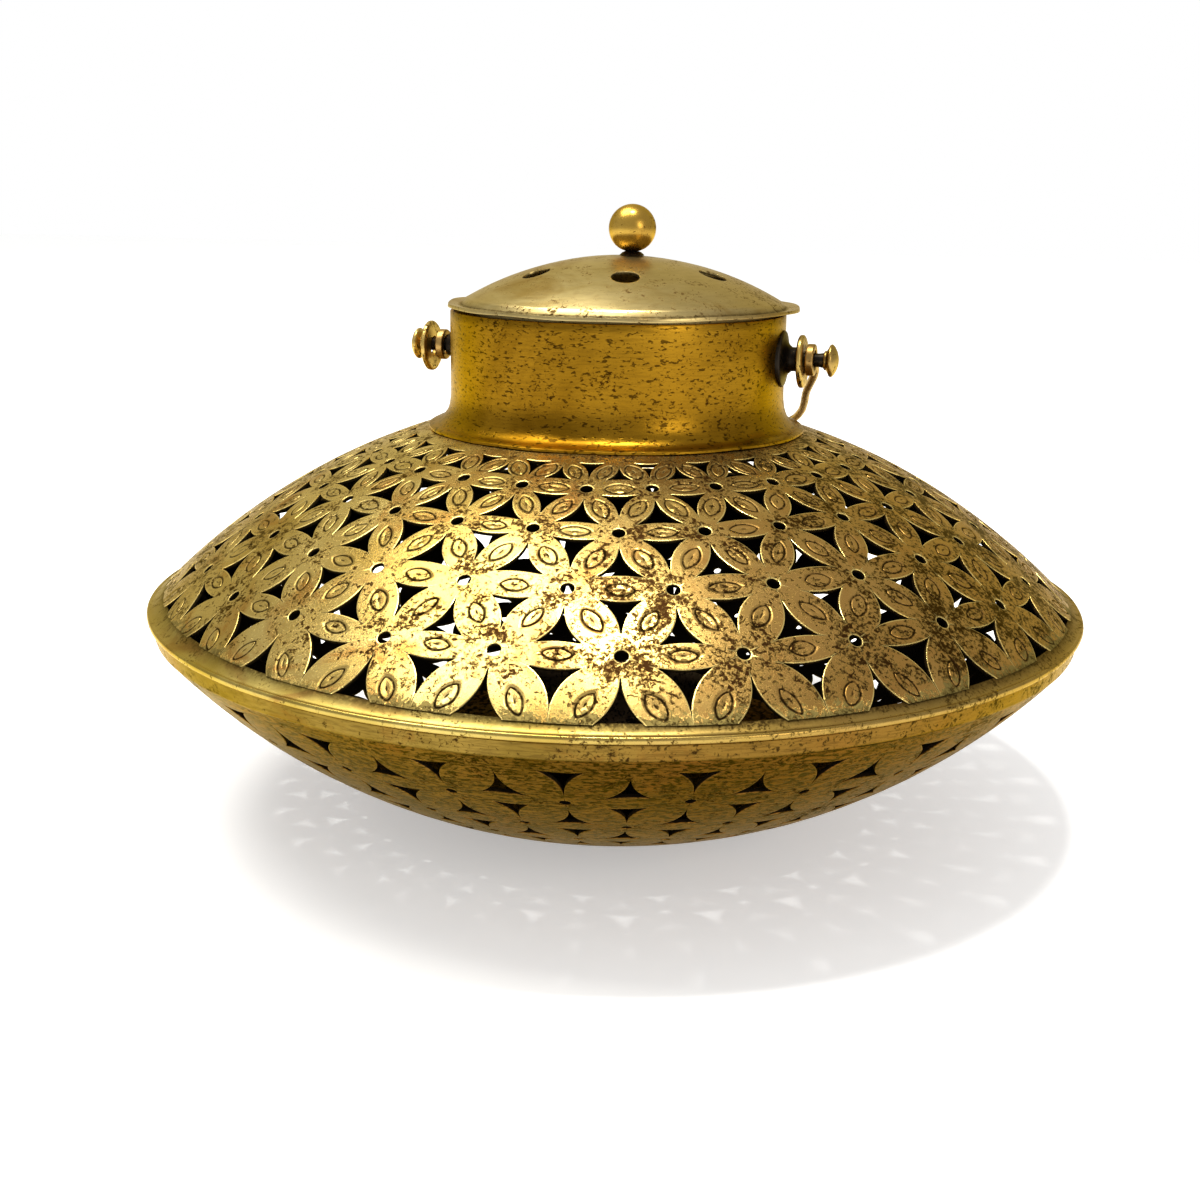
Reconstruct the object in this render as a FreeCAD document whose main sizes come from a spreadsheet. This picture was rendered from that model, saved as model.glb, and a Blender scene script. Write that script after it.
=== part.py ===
"""Pierced brass censer with a swing bail, a lift-off vented lid and a loose coal cup.

Lengths are in millimetres.  The origin is the centre of the flat underside, +Z is up and
the two pivot studs of the bail lie along X.  Every sub-part is written to parts/NAME.step.
"""
import math
import os
import re

import FreeCAD
import Part
import Sketcher

SIZES = [
    # name, value or formula, what it is
    ("sheet_gauge", "1.0", "thickness of the brass sheet"),
    ("floor_gauge", "1.2", "thickness of the flat floor disc"),
    ("floor_radius", "43.0", "radius of the flat floor disc"),
    ("bowl_sphere", "160.0", "outer radius of the lower bowl's curve"),
    ("bowl_centre", "155.5", "height of the centre of that curve"),
    ("bowl_top", "53.0", "height of the bowl's upper edge"),
    ("dome_sphere", "172.7", "outer radius of the shoulder's curve"),
    ("dome_centre", "61.9", "depth of the centre of that curve below the base"),
    ("dome_edge", "121.6", "radius where the shoulder is trimmed against the rim band"),
    ("dome_mouth", "42.4", "radius of the opening in the shoulder"),
    ("ridge_radius", "125.0", "largest radius, on the bead of the rim band"),
    ("ridge_height", "58.0", "height of the bead"),
    ("neck_radius", "44.4", "outer radius of the neck"),
    ("neck_top", "134.0", "height of the neck's upper edge"),
    ("foot_radius", "50.2", "outer radius of the neck's flared foot"),
    ("foot_rise", "8.0", "height of the flare above the shoulder"),
    ("stud_height", "123.2", "height of the pivot axis"),
    ("stud_thick", "4.7", "diameter of the stud through the neck wall"),
    ("stud_thin", "3.5", "diameter of the stud that carries the bail"),
    ("stud_step", "48.4", "distance from the axis to the step between the two diameters"),
    ("button_start", "55.2", "distance from the axis to the back of the end button"),
    ("button_end", "59.0", "distance from the axis to the tip of the end button"),
    ("button_width", "8.4", "diameter of the end button"),
    ("flange_width", "14.6", "diameter of the trumpet flange against the neck"),
    ("washer_width", "13.4", "diameter of the loose washer"),
    ("washer_gauge", "1.8", "thickness of the loose washer"),
    ("loose_bore", "5.0", "bore of the loose washer and of the bail eyes"),
    ("eye_width", "8.2", "outer diameter of the bail eyes"),
    ("eye_gauge", "2.1", "thickness of the bail eyes"),
    ("eye_right", "51.9", "distance from the axis to the middle of the right eye"),
    ("eye_left", "50.0", "distance from the axis to the middle of the left eye"),
    ("washer_right", "49.6", "distance from the axis to the middle of the right washer"),
    ("washer_left", "53.5", "distance from the axis to the middle of the left washer"),
    ("bail_rod", "2.1", "diameter of the bail's rod"),
    ("bail_reach", "89.0", "distance from the pivot axis to the middle of the bow"),
    ("bail_drop", "20.9", "angle by which the resting bail dips below level"),
    ("lid_sphere", "82.4", "outer radius of the lid's dome"),
    ("lid_top", "148.4", "height of the top of the lid's dome"),
    ("lid_gauge", "0.9", "thickness of the lid"),
    ("crease_radius", "41.8", "radius where the lid's dome ends"),
    ("brim_radius", "46.3", "outer radius of the lid's brim"),
    ("brim_height", "135.9", "height of the brim's outer edge"),
    ("seat_gap", "0.5", "height of the lid's brim above the neck"),
    ("ring_radius", "41.0", "outer radius of the ring that locates the lid"),
    ("ring_bottom", "128.4", "height of that ring's lower edge"),
    ("vent_width", "7.2", "diameter of each vent hole in the lid"),
    ("vent_circle", "26.0", "radius of the circle of vent holes"),
    ("vent_turn", "17.0", "angle between the front and the nearest vent hole"),
    ("vent_count", "6", "number of vent holes"),
    ("ball_width", "12.4", "diameter of the finial ball"),
    ("ball_height", "155.3", "height of the middle of the finial ball"),
    ("pin_width", "3.0", "diameter of the finial's pin"),
    ("pin_end", "144.4", "height of the lower end of the finial's pin"),
    ("nut_width", "6.0", "width across flats of the finial nut"),
    ("nut_gauge", "1.7", "thickness of the finial nut"),
    ("cup_radius", "32.0", "radius of the coal cup below its lip"),
    ("cup_base", "7.5", "height of the underside of the coal cup"),
    ("cup_top", "27.0", "height of the coal cup's lip"),
    ("cup_foot", "20.0", "outer radius of the coal cup's foot ring"),
    ("flower_count", "26", "flowers in each ring of the piercing"),
    ("dome_turn", "17.0", "angle from the front to the shoulder's nearest flower"),
    ("bowl_turn", "11.4", "angle from the front to the bowl's nearest flower"),
]

FORMULAS = [
    ("bowl_inside", "=bowl_sphere - sheet_gauge"),
    ("bowl_foot_out", "=sqrt(pow(bowl_sphere; 2) - pow(bowl_centre - floor_gauge; 2))"),
    ("bowl_foot_in", "=sqrt(pow(bowl_inside; 2) - pow(bowl_centre - floor_gauge; 2))"),
    ("bowl_rim_out", "=sqrt(pow(bowl_sphere; 2) - pow(bowl_centre - bowl_top; 2))"),
    ("bowl_rim_in", "=sqrt(pow(bowl_inside; 2) - pow(bowl_centre - bowl_top; 2))"),
    ("dome_inside", "=dome_sphere - sheet_gauge"),
    ("dome_edge_out", "=sqrt(pow(dome_sphere; 2) - pow(dome_edge; 2)) - dome_centre"),
    ("dome_edge_in", "=sqrt(pow(dome_inside; 2) - pow(dome_edge; 2)) - dome_centre"),
    ("dome_mouth_out", "=sqrt(pow(dome_sphere; 2) - pow(dome_mouth; 2)) - dome_centre"),
    ("dome_mouth_in", "=sqrt(pow(dome_inside; 2) - pow(dome_mouth; 2)) - dome_centre"),
    ("neck_bore", "=neck_radius - sheet_gauge"),
    ("foot_sphere", "=dome_sphere + 0.02"),
    ("foot_under", "=sqrt(pow(foot_sphere; 2) - pow(foot_radius; 2)) - dome_centre"),
    ("bore_under", "=sqrt(pow(foot_sphere; 2) - pow(neck_bore; 2)) - dome_centre"),
    ("lid_inside", "=lid_sphere - lid_gauge"),
    ("lid_centre", "=lid_top - lid_sphere"),
    ("lid_hole", "=pin_width / 2 + 0.1"),
    ("crease_inside", "=crease_radius - 0.8"),
    ("crease_out", "=lid_centre + sqrt(pow(lid_sphere; 2) - pow(crease_radius; 2))"),
    ("crease_in", "=lid_centre + sqrt(pow(lid_inside; 2) - pow(crease_inside; 2))"),
    ("crown_out", "=lid_centre + sqrt(pow(lid_sphere; 2) - pow(lid_hole; 2))"),
    ("crown_in", "=lid_centre + sqrt(pow(lid_inside; 2) - pow(lid_hole; 2))"),
    ("ring_bore", "=ring_radius - 0.9"),
    ("ring_top_out", "=lid_centre + sqrt(pow(lid_inside; 2) - pow(ring_radius; 2)) - 0.02"),
    ("ring_top_in", "=lid_centre + sqrt(pow(lid_inside; 2) - pow(ring_bore; 2)) - 0.02"),
    ("button_rise", "=button_end - button_start - 2.1"),
    ("button_dome", "=(pow(button_width / 2; 2) + pow(button_rise; 2)) / (2 * button_rise)"),
    ("ball_radius", "=ball_width / 2"),
    ("stem_top", "=ball_height - sqrt(pow(ball_radius; 2) - pow(2.0; 2))"),
    ("washer_top", "=lid_centre + sqrt(pow(lid_inside; 2) - pow(4.6; 2)) - 0.02"),
]

NAME = re.compile(r"[a-z]+_[a-z_]+")


def make_sizes(doc):
    """Put every driving and derived size in one spreadsheet."""
    sheet = doc.addObject("Spreadsheet::Sheet", "Sizes")
    for row, (alias, value, note) in enumerate(SIZES, start=1):
        sheet.set(f"A{row}", value)
        sheet.setAlias(f"A{row}", alias)
        sheet.set(f"B{row}", note)
    for row, (alias, formula) in enumerate(FORMULAS, start=len(SIZES) + 1):
        sheet.set(f"A{row}", formula)
        sheet.setAlias(f"A{row}", alias)
    doc.recompute()
    return sheet


def bound(text):
    """Turn names of sizes into references to the spreadsheet."""
    return NAME.sub(lambda match: "Sizes." + match.group(0), text)


def number(sheet, text):
    """Work out a sum of sizes, for a first guess or for a shape made in code."""
    names = {match: float(getattr(sheet, match)) for match in NAME.findall(text)}
    total = NAME.sub(lambda match: repr(names[match.group(0)]), text)
    return float(sheet.evalExpression(total))


def arc_centre(start, end, radius, side):
    """Centre of the arc through two points; side is +1 when it lies left of the chord."""
    chord_x = end[0] - start[0]
    chord_y = end[1] - start[1]
    length = math.hypot(chord_x, chord_y)
    height = math.sqrt(max(radius ** 2 - (length / 2) ** 2, 0.0))
    middle_x = (start[0] + end[0]) / 2
    middle_y = (start[1] + end[1]) / 2
    return (middle_x - side * height * chord_y / length,
            middle_y + side * height * chord_x / length)


def draw_edge(start, end, bend):
    """A straight edge, or an arc given as (radius, side)."""
    if bend is None:
        return Part.LineSegment(FreeCAD.Vector(*start, 0), FreeCAD.Vector(*end, 0))
    radius, side = bend
    centre = arc_centre(start, end, radius, side)
    from_angle = math.atan2(start[1] - centre[1], start[0] - centre[0])
    to_angle = math.atan2(end[1] - centre[1], end[0] - centre[0])
    if side < 0:
        from_angle, to_angle = to_angle, from_angle
    circle = Part.Circle(FreeCAD.Vector(*centre, 0), FreeCAD.Vector(0, 0, 1), radius)
    return Part.ArcOfCircle(circle, from_angle, to_angle)


def bind(sketch, index, text):
    sketch.setExpression(f"Constraints[{index}]", bound(text))


def draw_profile(sheet, sketch, corners, bends):
    """Draw a closed outline whose corners and arc radii all follow the sizes.

    corners: (x, y) pairs of size expressions.  bends: {corner number: (radius, side)} for
    each edge that leaves that corner as an arc instead of a line.
    """
    points = [(number(sheet, x), number(sheet, y)) for x, y in corners]
    count = len(points)
    for index in range(count):
        bend = bends.get(index)
        if bend is not None:
            bend = (number(sheet, bend[0]), bend[1])
        sketch.addGeometry(draw_edge(points[index], points[(index + 1) % count], bend), False)

    def first(index):
        return 2 if index in bends and bends[index][1] < 0 else 1

    def last(index):
        return 3 - first(index)

    for index in range(count):
        following = (index + 1) % count
        sketch.addConstraint(
            Sketcher.Constraint("Coincident", index, last(index), following, first(following)))
    for index, (x, y) in enumerate(corners):
        place = (index, first(index))
        if abs(points[index][0]) < 1e-9:
            sketch.addConstraint(Sketcher.Constraint("PointOnObject", *place, -2))
        else:
            where = sketch.addConstraint(
                Sketcher.Constraint("DistanceX", -1, 1, *place, points[index][0]))
            bind(sketch, where, x)
        if abs(points[index][1]) < 1e-9:
            sketch.addConstraint(Sketcher.Constraint("PointOnObject", *place, -1))
        else:
            where = sketch.addConstraint(
                Sketcher.Constraint("DistanceY", -1, 1, *place, points[index][1]))
            bind(sketch, where, y)
    for index, (radius, _) in bends.items():
        where = sketch.addConstraint(
            Sketcher.Constraint("Radius", index, number(sheet, radius)))
        bind(sketch, where, radius)


def origin_plane(body, role):
    for feature in body.Origin.OriginFeatures:
        if feature.Role == role:
            return feature
    raise ValueError(role)


def add_sketch(body, role, name):
    sketch = body.newObject("Sketcher::SketchObject", name)
    sketch.AttachmentSupport = (origin_plane(body, role), [""])
    sketch.MapMode = "FlatFace"
    return sketch


def turned_body(doc, label, corners, bends=None):
    """A body turned about its own vertical axis."""
    sheet = doc.Sizes
    body = doc.addObject("PartDesign::Body", label)
    sketch = add_sketch(body, "XZ_Plane", label + "_outline")
    draw_profile(sheet, sketch, corners, bends or {})
    turn = body.newObject("PartDesign::Revolution", label + "_turn")
    turn.Profile = sketch
    turn.ReferenceAxis = (sketch, ["V_Axis"])
    turn.Angle = 360
    body.Tip = turn
    sketch.Visibility = False
    doc.recompute()
    return body


def along_stud(piece, side):
    """Lay a piece turned about Z along the pivot axis; side is +1 right, -1 left."""
    piece.Placement = FreeCAD.Placement(
        FreeCAD.Vector(0, 0, 0), FreeCAD.Rotation(FreeCAD.Vector(0, 1, 0), 90 * side))
    piece.setExpression("Placement.Base.z", bound("stud_height") + " * 1 mm")


def cut_piece(doc, label, base, tool):
    piece = doc.addObject("Part::Cut", label)
    piece.Base = base
    piece.Tool = tool
    base.Label = label + "_blank"
    piece.Label = label
    doc.recompute()
    return piece


def cross_rod(doc, name, width, reach):
    """A plain cylinder lying along the pivot axis, used to drill the neck."""
    rod = doc.addObject("Part::Cylinder", name)
    rod.setExpression("Radius", bound(width) + " / 2 * 1 mm")
    rod.setExpression("Height", bound(reach) + " * 2 * 1 mm")
    rod.Placement = FreeCAD.Placement(
        FreeCAD.Vector(0, 0, 0), FreeCAD.Rotation(FreeCAD.Vector(0, 1, 0), 90))
    rod.setExpression("Placement.Base.x", "-" + bound(reach) + " * 1 mm")
    rod.setExpression("Placement.Base.z", bound("stud_height") + " * 1 mm")
    return rod


# ---------------------------------------------------------------- the piercing

# Radii of the rings of flowers, outermost first, and of the round hole in each flower.
DOME_RINGS = [127.8, 109.8, 95.2, 79.7, 64.7, 51.6]
DOME_HOLES = [0.0, 1.55, 1.55, 1.5, 1.5, 0.0]
BOWL_RINGS = [121.5, 109.0, 95.6, 83.2, 72.0]
BOWL_HOLES = [0.0, 1.25, 1.2, 1.1, 1.0]

# How far the corners of a three-sided hole reach from its middle towards the flowers:
# sideways to the pair of one ring, along to that pair, and to the single flower; first for
# the holes that point inwards and then for those that point outwards, from the rim in.
DOME_REACH = [((0.34, 0.02, 0.64), (0.40, 0.58, 0.28)), ((0.345, 0.51, 0.50), (0.35, 0.42, 0.51)),
              ((0.46, 0.42, 0.53), (0.47, 0.55, 0.51)), ((0.55, 0.52, 0.53), (0.53, 0.48, 0.50)),
              ((0.42, 0.25, 0.48), (0.48, 0.45, 0.50))]
BOWL_REACH = [((0.31, 0.52, 0.52), (0.35, 0.52, 0.52)), ((0.33, 0.52, 0.52), (0.34, 0.50, 0.52)),
              ((0.36, 0.50, 0.52), (0.37, 0.50, 0.52)), ((0.38, 0.50, 0.50), (0.38, 0.50, 0.50))]

# How far the sides bow inwards as a share of their length: the side that faces the pair,
# then the other two.  How wide the blunt tips are, and how thick the cutters are.
HOLLOW = (0.05, 0.10, 0.10)
TIP_WIDTH = 0.35
CUT_DEPTH = 5.0


def on_sphere(sphere, radius, angle):
    """Unit vector from the sphere's centre to the ring of the given radius."""
    lean = math.asin(radius / sphere)
    return FreeCAD.Vector(math.sin(lean) * math.cos(angle),
                          math.sin(lean) * math.sin(angle),
                          math.cos(lean))


def curved_triangle(sphere, flowers, reach):
    """A hole with three inward-bowed sides between a pair of flowers and a single one.

    The flowers are unit vectors, the single one last.
    """
    middle = flowers[0] + flowers[1] + flowers[2]
    middle.normalize()
    flat = [flower * (sphere / flower.dot(middle)) - middle * sphere for flower in flowers]
    aside, pair, single = reach
    foot = middle * sphere + (flat[0] + flat[1]) / 2 * pair
    arm = (flat[1] - flat[0]) / 2 * aside
    tips = [foot - arm, foot + arm, middle * sphere + flat[2] * single]
    edges = []
    for index in range(3):
        side = tips[(index + 1) % 3] - tips[index]
        nip = side * (TIP_WIDTH / side.Length)
        start = tips[index] + nip
        end = tips[(index + 1) % 3] - nip
        halfway = (start + end) / 2
        inward = middle * sphere - halfway
        inward.normalize()
        bowed = halfway + inward * (side.Length * HOLLOW[index])
        edges.append(Part.Arc(start, bowed, end).toShape())
        next_side = tips[(index + 2) % 3] - tips[(index + 1) % 3]
        corner = tips[(index + 1) % 3] + next_side * (TIP_WIDTH / next_side.Length)
        edges.append(Part.makeLine(end, corner))
    face = Part.Face(Part.Wire(edges))
    face.translate(middle * (-CUT_DEPTH / 2))
    return face.extrude(middle * CUT_DEPTH)


def round_hole(sphere, flower, radius):
    return Part.makeCylinder(radius, CUT_DEPTH, flower * (sphere - CUT_DEPTH / 2), flower)


def piercing(sphere, rings, holes, reaches, count, first):
    """All the holes of one shell, with the centre of its sphere at the origin.

    Every second ring has a flower at the angle first; the others are turned by half a step.
    """
    step = 2 * math.pi / count
    cutters = []
    for ring, radius in enumerate(rings):
        turn = first + (0.0 if ring % 2 else 0.5) * step
        flowers = [on_sphere(sphere, radius, turn + step * index) for index in range(count)]
        if holes[ring] > 0:
            cutters += [round_hole(sphere, flower, holes[ring]) for flower in flowers]
        if ring + 1 == len(rings):
            continue
        inner_turn = first + (0.5 if ring % 2 else 0.0) * step
        inner = [on_sphere(sphere, rings[ring + 1], inner_turn + step * index)
                 for index in range(count)]
        shift = 1 - ring % 2
        for index in range(count):
            following = flowers[(index + 1) % count]
            across = inner[(index + shift) % count]
            beside = inner[(index + shift - 1) % count]
            inwards, outwards = reaches[ring]
            cutters.append(curved_triangle(sphere, (flowers[index], following, across), inwards))
            cutters.append(curved_triangle(sphere, (beside, across, flowers[index]), outwards))
    return cutters


def shoulder_piercing(sheet):
    first = math.radians(-90 + float(sheet.dome_turn))
    cutters = piercing(float(sheet.dome_sphere), DOME_RINGS, DOME_HOLES, DOME_REACH,
                       int(sheet.flower_count), first)
    shape = Part.makeCompound(cutters)
    shape.translate(FreeCAD.Vector(0, 0, -float(sheet.dome_centre)))
    return shape


def bowl_piercing(sheet):
    """Drawn like the shoulder's and then turned over, which mirrors its angles."""
    first = math.radians(-90 - float(sheet.bowl_turn))
    cutters = piercing(float(sheet.bowl_sphere), BOWL_RINGS, BOWL_HOLES, BOWL_REACH,
                       int(sheet.flower_count), first)
    shape = Part.makeCompound(cutters)
    shape.rotate(FreeCAD.Vector(0, 0, 0), FreeCAD.Vector(0, 1, 0), 180)
    shape.translate(FreeCAD.Vector(0, 0, float(sheet.bowl_centre)))
    return shape


# ---------------------------------------------------------------- the pieces

def make_bowl(doc):
    floor = turned_body(doc, "base_disc", [
        ("0", "0"), ("floor_radius - 0.5", "0"), ("floor_radius", "0.5"),
        ("floor_radius", "floor_gauge"), ("0", "floor_gauge")])
    blank = turned_body(doc, "lower_bowl_blank", [
        ("bowl_foot_in", "floor_gauge"), ("bowl_foot_out", "floor_gauge"),
        ("bowl_rim_out", "bowl_top"), ("bowl_rim_in", "bowl_top")],
        {1: ("bowl_sphere", 1), 3: ("bowl_inside", -1)})
    tool = doc.addObject("Part::Feature", "bowl_piercing")
    tool.Shape = bowl_piercing(doc.Sizes)
    bowl = cut_piece(doc, "lower_bowl", blank, tool)
    return [floor, bowl]


def make_rim(doc):
    return turned_body(doc, "rim_band", [
        ("dome_edge - 0.9", "dome_edge_out - 1.6"),
        ("bowl_rim_in", "bowl_top + 0.3"),
        ("bowl_rim_out", "bowl_top"),
        ("bowl_rim_out + 0.9", "bowl_top + 0.5"),
        ("ridge_radius - 1.0", "ridge_height - 1.4"),
        ("ridge_radius", "ridge_height"),
        ("ridge_radius - 0.7", "ridge_height + 1.0"),
        ("dome_edge + 0.1", "dome_edge_out + 0.1"),
        ("dome_edge + 0.02", "dome_edge_in - 0.3")],
        {4: ("1.6", 1), 5: ("0.9", 1), 6: ("4.0", -1)})


def make_shoulder(doc):
    blank = turned_body(doc, "upper_shell_blank", [
        ("dome_mouth", "dome_mouth_in"), ("dome_edge", "dome_edge_in"),
        ("dome_edge", "dome_edge_out"), ("dome_mouth", "dome_mouth_out")],
        {0: ("dome_inside", -1), 2: ("dome_sphere", 1)})
    tool = doc.addObject("Part::Feature", "shoulder_piercing")
    tool.Shape = shoulder_piercing(doc.Sizes)
    return cut_piece(doc, "upper_shell", blank, tool)


def make_neck(doc):
    blank = turned_body(doc, "neck_collar_blank", [
        ("neck_bore", "bore_under"), ("foot_radius", "foot_under"),
        ("foot_radius", "foot_under + 0.9"),
        ("neck_radius + 1.4", "foot_under + 3.4"),
        ("neck_radius", "foot_under + foot_rise"),
        ("neck_radius", "neck_top - 0.2"), ("neck_radius - 0.2", "neck_top"),
        ("neck_bore", "neck_top")],
        {0: ("foot_sphere", -1), 2: ("9.0", -1), 3: ("9.0", -1)})
    drill = cross_rod(doc, "neck_drill", "stud_thick", "foot_radius")
    return cut_piece(doc, "neck_collar", blank, drill)


def make_studs(doc, side, suffix):
    stud = turned_body(doc, "pivot_stud_" + suffix, [
        ("0", "41.2"), ("2.4", "41.3"), ("3.2", "42.1"), ("stud_thick / 2", "42.1"),
        ("stud_thick / 2", "stud_step"), ("stud_thin / 2", "stud_step"),
        ("stud_thin / 2", "button_start + 1.8"), ("0", "button_start + 1.8")])
    rove = turned_body(doc, "stud_rove_" + suffix, [
        ("stud_thick / 2", "42.1"), ("4.4", "42.1"), ("4.4", "43.1"),
        ("stud_thick / 2", "43.1")])
    button = turned_body(doc, "stud_button_" + suffix, [
        ("stud_thin / 2", "button_start"), ("2.3", "button_start"),
        ("2.7", "button_start + 0.7"), ("button_width / 2", "button_start + 1.5"),
        ("button_width / 2", "button_start + 2.1"), ("0", "button_end"),
        ("0", "button_start + 1.8"), ("stud_thin / 2", "button_start + 1.8")],
        {4: ("button_dome", 1)})
    flange = turned_body(doc, "stud_flange_" + suffix + "_blank", [
        ("stud_thick / 2", "43.2"), ("flange_width / 2", "43.2"),
        ("flange_width / 2", "neck_radius + 0.7"),
        ("stud_thick / 2 + 1.6", "stud_step - 1.6"),
        ("stud_thick / 2 + 0.5", "stud_step - 0.1"),
        ("stud_thick / 2", "stud_step - 0.1")],
        {2: ("7.5", -1)})
    for piece in (stud, rove, button, flange):
        along_stud(piece, side)
    saddle = doc.addObject("Part::Cylinder", "saddle_" + suffix)
    saddle.setExpression("Radius", "(" + bound("neck_radius") + " + 0.01) * 1 mm")
    saddle.setExpression("Height", bound("neck_top") + " * 1 mm")
    flange = cut_piece(doc, "stud_flange_" + suffix, flange, saddle)
    return [stud, rove, button, flange]


def make_washer(doc, side, suffix):
    middle = "washer_" + suffix
    washer = turned_body(doc, "stud_washer_" + suffix, [
        ("loose_bore / 2", middle + " - washer_gauge / 2"),
        ("washer_width / 2 - 0.5", middle + " - washer_gauge / 2"),
        ("washer_width / 2", middle + " - washer_gauge / 2 + 0.5"),
        ("washer_width / 2", middle + " + washer_gauge / 2 - 0.5"),
        ("washer_width / 2 - 0.5", middle + " + washer_gauge / 2"),
        ("loose_bore / 2", middle + " + washer_gauge / 2")],
        {1: ("0.5", 1), 3: ("0.5", 1)})
    along_stud(washer, side)
    return washer


def make_bail(doc):
    """One bent rod with a drilled eye at each end, laid back at rest."""
    sheet = doc.Sizes
    rod = float(sheet.bail_rod) / 2
    reach = float(sheet.bail_reach)
    eyes = (float(sheet.eye_right), -float(sheet.eye_left))
    bore = float(sheet.loose_bore) / 2
    disc = float(sheet.eye_width) / 2
    gauge = float(sheet.eye_gauge)
    shared = [(43.0, 48.3), (40.6, 58.4), (36.4, 69.4), (29.0, 79.2), (16.0, 86.4)]
    right = [(eyes[0], disc - 0.6), (eyes[0] - 0.3, 9.0), (50.2, 16.6), (46.0, 33.0)] + shared
    left = [(eyes[1], disc - 0.6), (eyes[1] + 0.1, 9.0), (-49.2, 16.6), (-46.0, 33.0)]
    left += [(-x, y) for x, y in shared]
    path = right + [(0.0, reach)] + left[::-1]
    curve = Part.BSplineCurve()
    curve.interpolate([FreeCAD.Vector(x, y, 0) for x, y in path])
    spine = Part.Wire([curve.toShape()])
    start = curve.value(curve.FirstParameter)
    heading = curve.tangent(curve.FirstParameter)[0]
    section = Part.Wire([Part.makeCircle(rod, start, heading)])
    shape = spine.makePipeShell([section], True, True)
    for middle in eyes:
        low = FreeCAD.Vector(middle - gauge / 2, 0, 0)
        along = FreeCAD.Vector(1, 0, 0)
        shape = shape.fuse(Part.makeCylinder(disc, gauge, low, along))
        shape = shape.cut(Part.makeCylinder(bore, gauge + 2, low - along, along))
    bail = doc.addObject("Part::Feature", "bail_handle")
    bail.Shape = shape
    bail.Placement = FreeCAD.Placement(
        FreeCAD.Vector(0, 0, float(sheet.stud_height)),
        FreeCAD.Rotation(FreeCAD.Vector(1, 0, 0), -float(sheet.bail_drop)))
    return bail


def make_lid(doc):
    shell = turned_body(doc, "lid_shell", [
        ("lid_hole", "crown_in"), ("crease_inside", "crease_in"),
        ("crease_radius + 0.2", "neck_top + seat_gap"),
        ("neck_radius", "neck_top + seat_gap"),
        ("brim_radius", "brim_height - lid_gauge"), ("brim_radius", "brim_height"),
        ("crease_radius + 1.4", "neck_top + seat_gap + lid_gauge"),
        ("crease_radius", "crease_out"), ("lid_hole", "crown_out")],
        {0: ("lid_inside", -1), 7: ("lid_sphere", 1)})
    vent = add_sketch(shell, "XY_Plane", "vent_outline")
    sheet = doc.Sizes
    turn = math.radians(-90 + float(sheet.vent_turn))
    circle = Part.Circle(
        FreeCAD.Vector(float(sheet.vent_circle) * math.cos(turn),
                       float(sheet.vent_circle) * math.sin(turn), 0),
        FreeCAD.Vector(0, 0, 1), float(sheet.vent_width) / 2)
    vent.addGeometry(circle, False)
    size = vent.addConstraint(Sketcher.Constraint("Diameter", 0, float(sheet.vent_width)))
    bind(vent, size, "vent_width")
    across = vent.addConstraint(
        Sketcher.Constraint("DistanceX", -1, 1, 0, 3, circle.Center.x))
    vent.setExpression(f"Constraints[{across}]",
                       "Sizes.vent_circle * sin(Sizes.vent_turn * 1 deg)")
    back = vent.addConstraint(
        Sketcher.Constraint("DistanceY", 0, 3, -1, 1, -circle.Center.y))
    vent.setExpression(f"Constraints[{back}]",
                       "Sizes.vent_circle * cos(Sizes.vent_turn * 1 deg)")
    pocket = shell.newObject("PartDesign::Pocket", "vent_hole")
    pocket.Profile = vent
    pocket.Type = 1
    pocket.Reversed = True
    doc.recompute()
    pattern = shell.newObject("PartDesign::PolarPattern", "vent_ring")
    pattern.Originals = [pocket]
    pattern.Axis = (vent, ["N_Axis"])
    pattern.Angle = 360
    pattern.setExpression("Occurrences", "Sizes.vent_count")
    shell.Tip = pattern
    doc.recompute()
    ring = turned_body(doc, "lid_locating_ring", [
        ("ring_bore", "ring_bottom"), ("ring_radius", "ring_bottom"),
        ("ring_radius", "ring_top_out"), ("ring_bore", "ring_top_in")])
    return [shell, ring]


def make_finial(doc):
    ball = turned_body(doc, "finial_ball", [
        ("0", "pin_end"), ("pin_width / 2", "pin_end"),
        ("pin_width / 2", "crown_out + 0.05"), ("3.0", "crown_out + 0.05"),
        ("2.0", "stem_top"), ("0", "ball_height + ball_radius")],
        {4: ("ball_radius", 1)})
    washer = turned_body(doc, "finial_washer", [
        ("pin_width / 2 + 0.1", "washer_top - 0.8"), ("4.6", "washer_top - 0.8"),
        ("4.6", "washer_top"), ("pin_width / 2 + 0.1", "washer_top")])
    sheet = doc.Sizes
    hexagon = doc.addObject("Part::Prism", "finial_nut_blank")
    hexagon.Polygon = 6
    hexagon.setExpression("Circumradius", "Sizes.nut_width / sqrt(3) * 1 mm")
    hexagon.setExpression("Height", "Sizes.nut_gauge * 1 mm")
    hexagon.setExpression("Placement.Base.z",
                          "(Sizes.washer_top - 0.8 - Sizes.nut_gauge) * 1 mm")
    drill = doc.addObject("Part::Cylinder", "finial_nut_drill")
    drill.setExpression("Radius", "Sizes.pin_width / 2 * 1 mm")
    drill.setExpression("Height", "(Sizes.nut_gauge + 2) * 1 mm")
    drill.setExpression("Placement.Base.z",
                        "(Sizes.washer_top - 1.8 - Sizes.nut_gauge) * 1 mm")
    nut = cut_piece(doc, "finial_nut", hexagon, drill)
    return [ball, washer, nut]


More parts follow.
